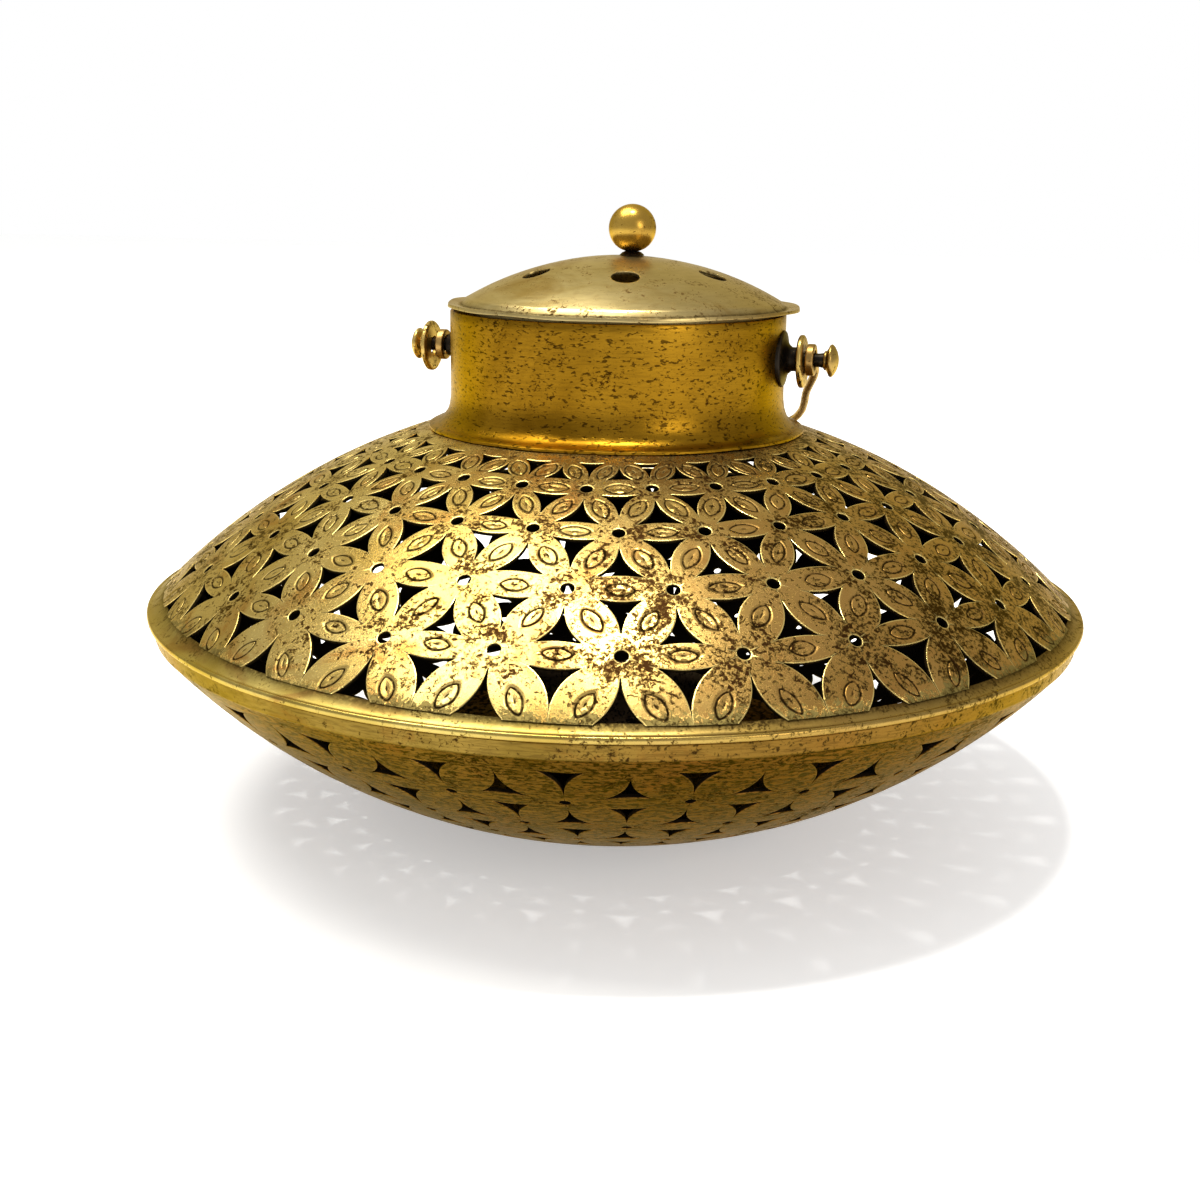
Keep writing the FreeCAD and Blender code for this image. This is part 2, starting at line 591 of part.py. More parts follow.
def make_cup(doc):
    cup = turned_body(doc, "coal_cup", [
        ("0", "cup_base"), ("cup_foot - 2", "cup_base"),
        ("cup_radius", "cup_top - 2.0"), ("cup_radius + 1.6", "cup_top - 0.9"),
        ("cup_radius + 1.4", "cup_top"), ("cup_radius - 0.9", "cup_top - 1.4"),
        ("cup_foot - 2.4", "cup_base + sheet_gauge"), ("0", "cup_base + sheet_gauge")],
        {1: ("24.0", 1), 5: ("22.9", -1)})
    foot = turned_body(doc, "cup_foot_ring", [
        ("cup_foot - 2.6", "cup_base - 0.02"), ("cup_foot - 2.6", "floor_gauge + 1.3"),
        ("cup_foot - 1.2", "floor_gauge + 0.3"), ("cup_foot", "floor_gauge + 0.3"),
        ("cup_foot", "floor_gauge + 1.3"), ("cup_foot - 1.6", "floor_gauge + 2.3"),
        ("cup_foot - 1.6", "cup_base - 0.02")])
    return [cup, foot]


def check_piece(piece):
    state = piece.State
    if "Invalid" in state or "Error" in state:
        raise RuntimeError(f"{piece.Label}: {state}")
    if piece.Shape.isNull() or not piece.Shape.isValid():
        raise RuntimeError(f"{piece.Label}: bad shape")
    if len(piece.Shape.Solids) != 1:
        raise RuntimeError(f"{piece.Label}: {len(piece.Shape.Solids)} solids")


def main():
    doc = FreeCAD.newDocument("censer")
    make_sizes(doc)
    pieces = make_bowl(doc)
    pieces.append(make_rim(doc))
    pieces.append(make_shoulder(doc))
    pieces.append(make_neck(doc))
    for side, suffix in ((1, "right"), (-1, "left")):
        pieces += make_studs(doc, side, suffix)
        pieces.append(make_washer(doc, side, suffix))
    pieces.append(make_bail(doc))
    pieces += make_lid(doc)
    pieces += make_finial(doc)
    pieces += make_cup(doc)
    doc.recompute()
    os.makedirs("parts", exist_ok=True)
    for piece in pieces:
        check_piece(piece)
        piece.Shape.exportStep(f"parts/{piece.Label}.step")
        print(f"{piece.Label}: {piece.Shape.Volume:.1f} mm3")


main()
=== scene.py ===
"""Looks of the pierced brass censer: pierced shells, neck, vented lid, studs, bail and coal cup.

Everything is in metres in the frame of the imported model.  Sizes that the frame can give are
read from it; the rest are named here in millimetres and turned into metres by MM.
"""
import math
import random

import bmesh
import bpy
from mathutils import Matrix, Vector, noise
from mathutils.geometry import delaunay_2d_cdt


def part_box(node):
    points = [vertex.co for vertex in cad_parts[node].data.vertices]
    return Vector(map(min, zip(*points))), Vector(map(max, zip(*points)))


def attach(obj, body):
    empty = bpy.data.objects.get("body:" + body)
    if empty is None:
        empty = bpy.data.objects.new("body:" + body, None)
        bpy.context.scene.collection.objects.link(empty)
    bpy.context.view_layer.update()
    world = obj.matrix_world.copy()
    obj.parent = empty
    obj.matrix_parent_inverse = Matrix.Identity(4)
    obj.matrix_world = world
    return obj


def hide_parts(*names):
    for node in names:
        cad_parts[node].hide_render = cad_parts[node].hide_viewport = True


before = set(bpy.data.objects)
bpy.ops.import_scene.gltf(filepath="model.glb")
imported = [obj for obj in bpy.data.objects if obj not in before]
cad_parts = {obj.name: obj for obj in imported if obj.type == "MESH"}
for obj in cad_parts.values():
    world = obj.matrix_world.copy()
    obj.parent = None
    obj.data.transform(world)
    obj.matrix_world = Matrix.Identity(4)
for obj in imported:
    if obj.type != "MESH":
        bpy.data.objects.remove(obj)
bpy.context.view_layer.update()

MM = 0.001


def node_top(name):
    """Highest point of a CAD node."""
    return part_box(name)[1].z


def node_reach(name):
    """How far a CAD node reaches along X."""
    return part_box(name)[1].x


# ---------------------------------------------------------------- driving sizes

STUD_HEIGHT = (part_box("stud_washer_right")[0].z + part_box("stud_washer_right")[1].z) / 2
RIDGE = node_reach("rim_band")
NECK_TOP = node_top("neck_collar")
FOOT_RADIUS = node_reach("neck_collar")
LID_TOP = node_top("lid_shell")
BOWL_TOP = node_top("lower_bowl")
FLOWERS = 26
STEP = 2 * math.pi / FLOWERS
SHEET = 1.0 * MM

DOME_SPHERE = 172.7 * MM
DOME_CENTRE = -61.9 * MM
DOME_EDGE = 121.9 * MM
DOME_ROWS = [r * MM for r in (127.8, 109.8, 95.2, 79.7, 64.7, 51.6)]
DOME_HOLES = [r * MM for r in (0.0, 1.55, 1.55, 1.5, 1.5, 0.0)]
# How far the corners of a three-sided hole reach from its middle towards the flowers: sideways
# to the pair of one ring, along to that pair, and to the single flower; first for the holes
# that point inwards and then for those that point outwards, ring by ring from the rim.
DOME_REACH = [((0.34, 0.02, 0.64), (0.40, 0.58, 0.28)),
              ((0.345, 0.51, 0.50), (0.35, 0.42, 0.51)),
              ((0.46, 0.42, 0.53), (0.47, 0.55, 0.51)),
              ((0.55, 0.52, 0.53), (0.53, 0.48, 0.50)),
              ((0.42, 0.25, 0.48), (0.48, 0.45, 0.50))]

BOWL_SPHERE = 160.0 * MM
BOWL_CENTRE = 155.5 * MM
BOWL_ROWS = [r * MM for r in (121.5, 109.0, 95.6, 83.2, 72.0)]
BOWL_HOLES = [r * MM for r in (0.0, 1.25, 1.2, 1.1, 1.0)]
BOWL_REACH = [((0.31, 0.52, 0.52), (0.35, 0.52, 0.52)),
              ((0.33, 0.52, 0.52), (0.34, 0.50, 0.52)),
              ((0.36, 0.50, 0.52), (0.37, 0.50, 0.52)),
              ((0.38, 0.50, 0.50), (0.38, 0.50, 0.50))]
# The bowl is plain from PLAIN_RADIUS in to the foot disc, which starts at DISC_RADIUS.
PLAIN_RADIUS = 66.0
DISC_RADIUS = 42.2
# How far the sides of a three-sided hole bow inwards, as a share of their length: the side
# between the pair of flowers first, and then the other two.
HOLLOW = (0.05, 0.10)
# Half length and half width of the engraved almond, and the width of its cut line.
ALMOND = (3.9 * MM, 2.25 * MM)
ALMOND_LINE = 0.36 * MM
# Bevel of the cut edges, bluntness of the holes' corners, and how far flowers stray.
CUT_BEVEL = 0.13 * MM
BLUNT = 0.30 * MM
STRAY = 0.022 * STEP
SHOULDER_INNER = 44.8 * MM
RIM_SEGMENTS = 720

RIDGE_HEIGHT = 58.0 * MM
DOME_TURN = math.radians(-73.0)
BOWL_TURN = math.radians(-78.6)
TRIM_TILT = (-0.007, 0.009)
TRIM_RISE = 1.3 * MM
VIEW_TURN = math.radians(17.0)
VIEW_DROP = math.radians(14.70)
VIEW_ROLL = 0.0125
VIEW_DISTANCE = 422.0 * MM
VIEW_HEIGHT = 165.4 * MM
VIEW_OFFSET = 3.93 * MM
VIEW_LENS = 47.11
# The loose lid and the hand-set finial both sit a little off the axis.
LID_SHIFT = (1.2 * MM, 0.4 * MM, 0.0)
FINIAL_SHIFT = (3.2 * MM, 0.9 * MM, 0.0)
# The lid in millimetres: sphere of its dome, where the crease starts and ends, and the vents.
LID_SPHERE = 82.4
CREASE_START, CREASE_END = 41.6, 43.3
VENT_CIRCLE, VENT_RADIUS, VENT_TURN = 26.0, 3.6, -73

GROOVE_BLACK = (0.014, 0.007, 0.002)
# Near black for soot and painted shade on the inside of the censer and in the holes.
SOOT_AND_SHADE_BLACK = (0.008, 0.006, 0.004)
RESIDUE = ((0.030, 0.019, 0.005), (0.200, 0.150, 0.045))
BRASS_TINT = (1.0, 0.82, 0.45)
WHITE = (1.0, 1.0, 1.0)


# ---------------------------------------------------------------- mesh helpers

def make_object(name, verts, faces, material, body, replaced=(), smooth_angle=40,
                marks=None, trim=None):
    """A mesh object that rides on a body and stands for some CAD nodes.

    marks: {attribute name: one value for each vertex}.  trim: (point, normal) of a plane that
    cuts the mesh off on the side the normal points to.
    """
    mesh = bpy.data.meshes.new(name)
    mesh.from_pydata([tuple(v) for v in verts], [], faces)
    for mark, values in (marks or {}).items():
        mesh.attributes.new(mark, "FLOAT", "POINT").data.foreach_set("value", values)
    made = bpy.data.objects.new(name, mesh)
    bpy.context.scene.collection.objects.link(made)
    finish_mesh(mesh, smooth_angle, trim)
    mesh.materials.append(material)
    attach(made, body)
    if replaced:
        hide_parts(*replaced)
    return made


def finish_mesh(mesh, smooth_angle, trim=None):
    """Merge doubled points, trim, turn the normals outwards and shade smooth."""
    work = bmesh.new()
    work.from_mesh(mesh)
    bmesh.ops.remove_doubles(work, verts=work.verts, dist=0.004 * MM)
    if trim:
        parts = work.verts[:] + work.edges[:] + work.faces[:]
        bmesh.ops.bisect_plane(work, geom=parts, plane_co=trim[0], plane_no=trim[1],
                               clear_outer=True)
    bmesh.ops.recalc_face_normals(work, faces=work.faces)
    work.to_mesh(mesh)
    work.free()
    mesh.polygons.foreach_set("use_smooth", [True] * len(mesh.polygons))
    mesh.set_sharp_from_angle(angle=math.radians(smooth_angle))


def lathe(profile, segments=160, wobble=None, closed=True):
    """Turn (radius, height) points round Z; wobble(angle, index) may move a point."""
    verts, faces = [], []
    count = len(profile)
    for turn in range(segments):
        angle = 2 * math.pi * turn / segments
        for index, (radius, height) in enumerate(profile):
            shift_r, shift_z = wobble(angle, index) if wobble else (0.0, 0.0)
            reach = radius + (shift_r if radius > 1e-6 else 0.0)
            verts.append((reach * math.cos(angle), reach * math.sin(angle),
                          height + shift_z))
    for turn in range(segments):
        here = turn * count
        there = ((turn + 1) % segments) * count
        last = count if closed else count - 1
        for index in range(last):
            after = (index + 1) % count
            faces.append((here + index, there + index, there + after, here + after))
    return verts, faces


def rounded(points, radius, steps=4):
    """A closed outline with each corner rounded off by up to the given radius."""
    result = []
    count = len(points)
    for index, corner in enumerate(points):
        corner = Vector(corner)
        before = Vector(points[index - 1]) - corner
        after = Vector(points[(index + 1) % count]) - corner
        reach = min(radius, before.length * 0.45, after.length * 0.45)
        if corner.x < 1e-7 or reach < 1e-7:
            result.append(tuple(corner))
            continue
        start = corner + before.normalized() * reach
        end = corner + after.normalized() * reach
        for step in range(steps + 1):
            t = step / steps
            point = start * (1 - t) ** 2 + corner * 2 * t * (1 - t) + end * t * t
            result.append(tuple(point))
    return result


def moved(verts, shift):
    """The same points, all moved by one shift."""
    return [Vector(v) + Vector(shift) for v in verts]


def metres(points):
    """(radius, height) points from millimetres to metres."""
    return [(r * MM, z * MM) for r, z in points]


def wave(seed, *parts):
    """A smooth closed wobble round the axis: parts are (lobes, size) pairs."""
    source = random.Random(seed)
    phases = [source.uniform(0, 2 * math.pi) for _ in parts]

    def height(angle):
        return sum(size * math.sin(lobes * angle + phase)
                   for (lobes, size), phase in zip(parts, phases))
    return height


# ---------------------------------------------------------------- materials

def set_inputs(made, **values):
    """Set sockets by name, with _ for a space."""
    for name, value in values.items():
        made.inputs[name.replace("_", " ")].default_value = value
    return made


def feed(tree, socket, value):
    """Link a node's output to a socket, or set the socket to a number or a colour."""
    if isinstance(value, (int, float)):
        socket.default_value = value
    elif isinstance(value, tuple):
        socket.default_value = (*value, 1)
    else:
        tree.links.new(value, socket)


def ramp(tree, source, stops):
    """A colour ramp; stops are (position, colour) pairs in order."""
    made = tree.nodes.new("ShaderNodeValToRGB")
    elements = made.color_ramp.elements
    elements.remove(elements[-1])
    elements[0].position = stops[0][0]
    elements[0].color = (*stops[0][1], 1)
    for place, colour in stops[1:]:
        elements.new(place).color = (*colour, 1)
    tree.links.new(source, made.inputs["Fac"])
    return made.outputs["Color"]


def grey(value):
    """A colour with three equal parts."""
    return (value, value, value)


def mix(tree, fac, low, high):
    """The colour low where fac is 0 and high where it is 1."""
    made = tree.nodes.new("ShaderNodeMix")
    made.data_type = "RGBA"
    feed(tree, made.inputs[0], fac)
    feed(tree, made.inputs[6], low)
    feed(tree, made.inputs[7], high)
    return made.outputs[2]


def maths(tree, operation, first, second=0.0):
    """One sum of two numbers, either of which may be a node's output."""
    made = tree.nodes.new("ShaderNodeMath")
    made.operation = operation
    feed(tree, made.inputs[0], first)
    feed(tree, made.inputs[1], second)
    return made.outputs[0]


def coordinates(tree, scale=(1, 1, 1)):
    """Places on the piece, stretched by a scale along each axis."""
    place = tree.nodes.new("ShaderNodeTexCoord")
    stretch = tree.nodes.new("ShaderNodeMapping")
    stretch.inputs["Scale"].default_value = scale
    tree.links.new(place.outputs["Object"], stretch.inputs["Vector"])
    return stretch.outputs["Vector"]


def speckle(tree, vector, scale, detail, roughness, distortion):
    """Noise between 0 and 1."""
    made = tree.nodes.new("ShaderNodeTexNoise")
    set_inputs(made, Scale=scale, Detail=detail, Roughness=roughness, Distortion=distortion)
    tree.links.new(vector, made.inputs["Vector"])
    return made.outputs["Fac"]


def attribute(tree, name):
    """A value that the mesh carries for each point."""
    made = tree.nodes.new("ShaderNodeAttribute")
    made.attribute_name = name
    return made.outputs["Fac"]


def band(tree, source, low, high):
    """0 below low, 1 above high, a straight climb between."""
    made = tree.nodes.new("ShaderNodeMapRange")
    set_inputs(made, **{"From Min": low, "From Max": high})
    tree.links.new(source, made.inputs["Value"])
    return made.outputs["Result"]


def brass(name, light, middle, dark, warm=None, patina=0.5, roughness=0.3, bump=0.25,
          grain=0.0, pits=0.0, pit_start=0.60, speck=1050.0, marks=False, joint=None,
          edge_glint=1.0):
    """Aged brass: drifting colour, crisp dark specks in clusters, optional grain and pits.

    With marks, the attributes of the pierced sheets say where grooves, cut edges, the
    middles of the flowers and the inside are: cut edges get a painted highlight, and the
    inside and the lower hole walls get soot and painted shade.  A joint is the radius of the
    brazed seam, where rough dark residue is left on the sheet; it needs marks.  The last
    argument sets how strong the painted highlight on cut edges is.
    """
    made = bpy.data.materials.new(name)
    made.use_nodes = True
    tree = made.node_tree
    shader = tree.nodes["Principled BSDF"]
    shader.inputs["Metallic"].default_value = 1.0

    def plus(first, second):
        return maths(tree, "ADD", first, second)

    def minus(first, second):
        return maths(tree, "SUBTRACT", first, second)

    def times(first, second):
        return maths(tree, "MULTIPLY", first, second)

    where = coordinates(tree)
    broad = speckle(tree, where, 26.0, 4.0, 0.6, 0.8)
    colour = mix(tree, band(tree, broad, 0.36, 0.64), middle, light)
    if warm:
        drift = speckle(tree, coordinates(tree, (0.9, 1.1, 1.3)), 34.0, 5.0, 0.65, 1.2)
        colour = mix(tree, band(tree, drift, 0.52, 0.68), colour, warm)
    fine = speckle(tree, where, speck, 6.0, 0.72, 0.5)
    cluster = speckle(tree, where, speck * 0.13, 5.0, 0.62, 0.9)
    tarnish = plus(times(fine, 0.62), times(cluster, 0.38))
    if marks:
        # Flower hearts are darker and the left of the front is cleaner; the broad browning
        # towards the right is partly tarnish and partly painted shade on the side away from the
        # lamps.
        heart = times(attribute(tree, "heart"), 0.050)
        tarnish = plus(tarnish, heart)
        across = tree.nodes.new("ShaderNodeSeparateXYZ")
        tree.links.new(where, across.inputs[0])
        cleanest = plus(across.outputs["X"], 0.035)
        worn = times(maths(tree, "ABSOLUTE", cleanest), 0.30)
        tarnish = plus(tarnish, worn)
        if warm:
            # Painted shade with tarnish: the broad colour turns browner towards +X, the side
            # away from the lamps.
            side = plus(across.outputs["X"], times(broad, 0.1))
            right_tarnish_and_shade = times(band(tree, side, 0.05, 0.12), 0.75)
            colour = mix(tree, right_tarnish_and_shade, colour, warm)
    start = 0.615 - 0.13 * patina
    stain = band(tree, tarnish, start, start + 0.035)
    deep = band(tree, tarnish, start + 0.03, start + 0.07)
    half = tuple((m + 2.4 * d) / 3.4 for m, d in zip(middle, dark))
    colour = mix(tree, stain, colour, half)
    colour = mix(tree, deep, colour, dark)
    rough = mix(tree, stain, grey(roughness), grey(min(roughness + 0.25, 0.9)))
    height = minus(times(fine, 0.6), times(stain, 0.25))
    if grain > 0:
        level = speckle(tree, coordinates(tree, (1, 1, 12)), 170.0, 5.0, 0.7, 0.4)
        lines = times(band(tree, level, 0.47, 0.60), grain)
        colour = mix(tree, lines, colour, dark)
        height = minus(height, times(lines, 0.6))
    if pits > 0:
        dashes = speckle(tree, coordinates(tree, (1, 1, 2.4)), 640.0, 2.0, 0.5, 0.2)
        holes = times(band(tree, dashes, pit_start, pit_start + 0.08), pits)
        colour = mix(tree, holes, colour, tuple(c * 0.45 for c in dark))
        height = minus(height, holes)
    if joint:
        squares = [maths(tree, "POWER", across.outputs[axis], 2.0) for axis in "XY"]
        radius = maths(tree, "SQRT", plus(*squares))
        ragged = plus(radius, plus(times(fine, 9.0 * MM), times(cluster, 7.0 * MM)))
        seam = band(tree, ragged, joint + 6.2 * MM, joint + 6.8 * MM)
        crust = mix(tree, band(tree, fine, 0.42, 0.56), *RESIDUE)
        colour = mix(tree, seam, colour, crust)
        rough = mix(tree, seam, rough, grey(0.55))
        height = plus(height, times(seam, 0.8))
    if marks:
        # The groove mask darkens engraved lines and the lid's crease with dirt; on the rim it
        # also carries the cove's residue and painted shade.
        groove = times(attribute(tree, "groove"),
                       ramp(tree, fine, [(0.30, grey(0.6)), (0.50, grey(1))]))
        colour = mix(tree, groove, colour, GROOVE_BLACK)
        rough = mix(tree, groove, rough, grey(0.75))
        # Painted highlight: cut edges turn to a lighter colour and become glossier, like a glint
        # of the lamps.
        rim = times(attribute(tree, "edge"),
                    ramp(tree, cluster, [(0.40, grey(edge_glint)), (0.62, grey(0.4 * edge_glint))]))
        colour = mix(tree, rim, colour, tuple(min(c * 1.4, 1.0) for c in light))
        rough = mix(tree, rim, rough, grey(0.25))
        # Soot and painted shade: the inside face, the lower hole walls and the rim's inner ends
        # go near black.
        soot_and_shade = attribute(tree, "soot_and_shade")
        colour = mix(tree, soot_and_shade, colour, SOOT_AND_SHADE_BLACK)
        rough = mix(tree, soot_and_shade, rough, grey(0.85))
    shader.inputs["Specular Tint"].default_value = (*BRASS_TINT, 1)
    tree.links.new(colour, shader.inputs["Base Color"])
    tree.links.new(rough, shader.inputs["Roughness"])
    relief = tree.nodes.new("ShaderNodeBump")
    set_inputs(relief, Strength=bump, Distance=0.12 * MM)
    tree.links.new(height, relief.inputs["Height"])
    tree.links.new(relief.outputs["Normal"], shader.inputs["Normal"])
    return made


# ---------------------------------------------------------------- the pierced shells

class Shell:
    """A spherical sheet drawn on a flat strip: x is the angle round Z, y grows outwards.

    The strip is the conformal map of the sphere, so a shape keeps its proportions.  Rows of
    flowers are listed from the rim inwards, each half a step on from the one before.  A hole's
    key is its kind, its row and its place: "own" holes point outwards to a flower of the row,
    and "next" holes inwards to a flower of the next row.
    """

    def __init__(self, sphere, centre, up, turn, rows, holes, reach, seed):
        self.sphere, self.centre, self.up, self.turn = sphere, centre, up, turn
        self.rows, self.holes, self.reach = rows, holes, reach
        self.random = random.Random(seed)
        self.flowers = [[self.flower(row, index) for index in range(FLOWERS)]
                        for row in range(len(rows))]
        self.tips = {}
        self.verts, self.faces = [], []
        self.marks = {"groove": [], "edge": [], "heart": [], "soot_and_shade": []}

    def strip_y(self, radius):
        """Where a ring of this radius lies on the strip."""
        return math.log(math.tan(math.asin(radius / self.sphere) / 2))

    def flower(self, row, index):
        """The middle of a flower, a little off its ideal place."""
        turn = self.turn + (index + (0.0 if row % 2 else 0.5)) * STEP
        return Vector((turn + self.random.uniform(-STRAY, STRAY),
                       self.strip_y(self.rows[row]) + self.random.uniform(-STRAY, STRAY)))

    def at(self, row, index):
        """A flower's place, counted on round the strip without a jump."""
        laps, place = divmod(index, FLOWERS)
        return self.flowers[row][place] + Vector((2 * math.pi * laps, 0))

    def scale(self, y):
        """Metres on the sheet for one unit of the strip."""
        return self.sphere * math.sin(2 * math.atan(math.exp(y)))

    def place(self, point, lift):
        """A strip point on the sphere, lifted off it, with the slight waves of hammering."""
        lean = 2 * math.atan(math.exp(point[1]))
        reach = self.sphere + lift
        x = reach * math.sin(lean) * math.cos(point[0])
        y = reach * math.sin(lean) * math.sin(point[0])
        z = reach * math.cos(lean)
        hammer = 0.10 * MM * noise.noise(Vector((x, y, z)) * 38.0)
        hammer += 0.035 * MM * noise.noise(Vector((x, y, z)) * 120.0)
        grow = 1 + hammer / self.sphere
        return (x * grow, y * grow, self.centre + self.up * z * grow)

    def hole(self, key, corners):
        """Tips of the three-sided hole between three flowers, each with a little variety."""
        if key not in self.tips:
            middle = sum(corners, Vector((0, 0))) / 3
            size = self.random.uniform(1.00, 1.11)
            aside, pair, single = self.reach[key[1]][0 if key[0] == "next" else 1]
            tips = []
            for corner, along in zip(corners, (pair, pair, single)):
                arm = corner - middle
                stretch = size * self.random.uniform(0.96, 1.04)
                tips.append(middle + Vector((arm.x * aside, arm.y * along)) * stretch)
            self.tips[key] = (middle, tips)
        return self.tips[key]

    def side(self, hole, first, second, steps):
        """One inward-bowed side of a hole, with blunt ends."""
        middle, tips = hole
        start, end = tips[first], tips[second]
        other = tips[3 - first - second]
        nip = BLUNT / self.scale(middle.y)
        along = (end - start).normalized()
        back = (start + (other - start).normalized() * nip + start + along * nip) / 2
        front = (end + (other - end).normalized() * nip + end - along * nip) / 2
        begin = start + along * nip
        stop = end - along * nip
        chord = stop - begin
        inward = Vector((-chord.y, chord.x)).normalized()
        if inward.dot(middle - begin) < 0:
            inward = -inward
        bow = HOLLOW[0 if first + second == 1 else 1] * (end - start).length
        points = [back.lerp(start, 0.5)]
        for step in range(steps + 1):
            t = step / steps
            points.append(begin + chord * t + inward * bow * 4 * t * (1 - t))
        points.append(front.lerp(end, 0.5))
        return points

    def rim_of_flower(self, centre, radius, start, end, steps):
        """Part of a flower's round hole, from facing one point to facing another."""
        if radius <= 0:
            return []
        size = radius / self.scale(centre.y)
        low = math.atan2(start.y - centre.y, start.x - centre.x)
        high = math.atan2(end.y - centre.y, end.x - centre.x)
        turn = (high - low + math.pi) % (2 * math.pi) - math.pi
        return [centre + size * Vector((math.cos(low + turn * step / steps),
                                        math.sin(low + turn * step / steps)))
                for step in range(steps + 1)]

    def joined(self, start, end, steps=2):
        """Points strictly between two places."""
        return [start.lerp(end, step / (steps + 1)) for step in range(1, steps + 1)]

    def petal(self, first, second, above, below, radii, marked):
        """One petal between two flowers: bevelled rims, wall, back and engraved almond.

        above and below are (hole, tip at first, tip at second), or (first, second, y) along
        a border.
        """
        upper = self.flank(above, 14)
        lower = self.flank(below, 14)
        pieces = []

        def add(points, cut):
            if points:
                pieces.append((points, cut))

        add(self.rim_of_flower(first, radii[0], lower[0], upper[0], 5) or [first],
            radii[0] > 0)
        self.link(add, pieces, upper[0])
        add(upper, isinstance(above[0], tuple))
        far = self.rim_of_flower(second, radii[1], upper[-1], lower[-1], 5) or [second]
        self.link(add, pieces, far[0])
        add(far, radii[1] > 0)
        back = lower[::-1]
        self.link(add, pieces, back[0])
        add(back, isinstance(below[0], tuple))
        self.link(add, pieces, pieces[0][0][0])
        self.build(pieces, first, second, marked)

    def flank(self, side, steps):
        """Points along one side of a petal: a hole's side, or a straight border."""
        if isinstance(side[0], tuple):
            hole, first, second = side
            return self.side(hole, first, second, steps)
        start, end, border = side
        return [Vector((start.x, border))] + self.joined(
            Vector((start.x, border)), Vector((end.x, border)), steps + 1) + [
            Vector((end.x, border))]

    def link(self, add, pieces, target):
        """Uncut points from the outline's last point towards the target."""
        add(self.joined(pieces[-1][0][-1], target), False)

    def build(self, pieces, first, second, marked):
        """Faces of one petal from its outline: shrinking rings on the front, walls, back."""
        self.ends = (first, second)
        centre = (first + second) / 2
        scale = self.scale(centre.y)
        axis = second - first
        lean = math.atan2(axis.y, axis.x)
        half = ALMOND[0] / scale * self.random.uniform(0.90, 1.08)
        width = ALMOND[1] / scale * self.random.uniform(0.86, 1.10)
        turn = self.random.uniform(-0.09, 0.09) + lean
        points = [point for group, _ in pieces for point in group]
        count = len(points)
        bevel = CUT_BEVEL / scale

        def inset(point, amount):
            return point + (centre - point).normalized() * amount

        def lens(point, grow):
            ray = point - centre
            angle = math.atan2(ray.y, ray.x) - turn
            along, across = abs(math.cos(angle)), max(abs(math.sin(angle)), 1e-6)
            long, wide = half * grow[0], width * grow[1]
            bend = wide * along * along / (long * long)
            sharp = (2 * wide) / (across + math.sqrt(across * across + 4 * wide * bend))
            oval = 1 / math.sqrt((along / long) ** 2 + (across / wide) ** 2)
            return centre + ray.normalized() * (0.55 * sharp + 0.45 * oval)

        cut = []
        for group, is_cut in pieces:
            cut += [is_cut] * len(group)
        line = ALMOND_LINE / scale
        # The bevel ring is marked for the painted highlight on cut edges.
        rings = [([inset(p, bevel) if c else p for p, c in zip(points, cut)], 0.0, 0.0,
                  [1.0 if c else 0.0 for c in cut])]
        rings.append(([inset(p, bevel * 3.0) for p in points], 0.0, 0.0, None))
        if marked:
            outer = [lens(p, (1.0, 1.0)) for p in points]
            second_ring = rings[1][0]
            rings.append(([a.lerp(b, 0.88) for a, b in zip(second_ring, outer)],
                          0.0, 0.0, None))
            rings.append((outer, 0.0, 0.0, None))
            for lines, depth, groove in ((1, -0.16 * MM, 1.0), (1.9, -0.15 * MM, 1.0),
                                         (2.5, 0.0, 0.0)):
                shrink = (1 - lines * line / half, 1 - lines * line / width)
                rings.append(([lens(p, shrink) for p in points], depth, groove, None))
            rings.append(([lens(p, (0.26, 0.15)) for p in points], 0.0, 0.0, None))
            rings.append(([lens(p, (0.18, 0.08)) for p in points], -0.05 * MM, 0.9, None))
        else:
            rings.append(([p.lerp(centre, 0.5) for p in points], 0.02 * MM, 0.0, None))
        self.stack(rings, centre, count, marked)
        self.walls(pieces, centre, bevel)
        # The back of the sheet is the inside: painted near black for soot and painted shade.
        back = [self.vertex(p, -SHEET, 0.0, 0.0, 1.0) for p in points]
        middle = self.vertex(centre, -SHEET, 0.0, 0.0, 1.0)
        for index in range(count):
            self.faces.append((back[(index + 1) % count], back[index], middle))

    def vertex(self, point, lift, groove=0.0, edge=0.0, soot_and_shade=0.0):
        """Add a point with its marks and give its number."""
        self.verts.append(self.place(point, lift))
        reach = min((point - end).length for end in self.ends)
        self.marks["groove"].append(groove)
        self.marks["edge"].append(edge)
        self.marks["heart"].append(max(0.0, 1.0 - reach / (0.42 * STEP)))
        self.marks["soot_and_shade"].append(soot_and_shade)
        return len(self.verts) - 1

    def stack(self, rings, centre, count, marked):
        """Faces between rings of (points, lift, groove, edges), closed at the centre."""
        before = None
        for points, lift, groove, edges in rings:
            now = [self.vertex(p, lift, groove, edges[i] if edges else 0.0)
                   for i, p in enumerate(points)]
            if before:
                for index in range(count):
                    after = (index + 1) % count
                    self.faces.append((before[index], before[after], now[after], now[index]))
            before = now
        middle = self.vertex(centre, -0.05 * MM if marked else 0.02 * MM, 0.9 * marked)
        for index in range(count):
            self.faces.append((before[index], before[(index + 1) % count], middle))

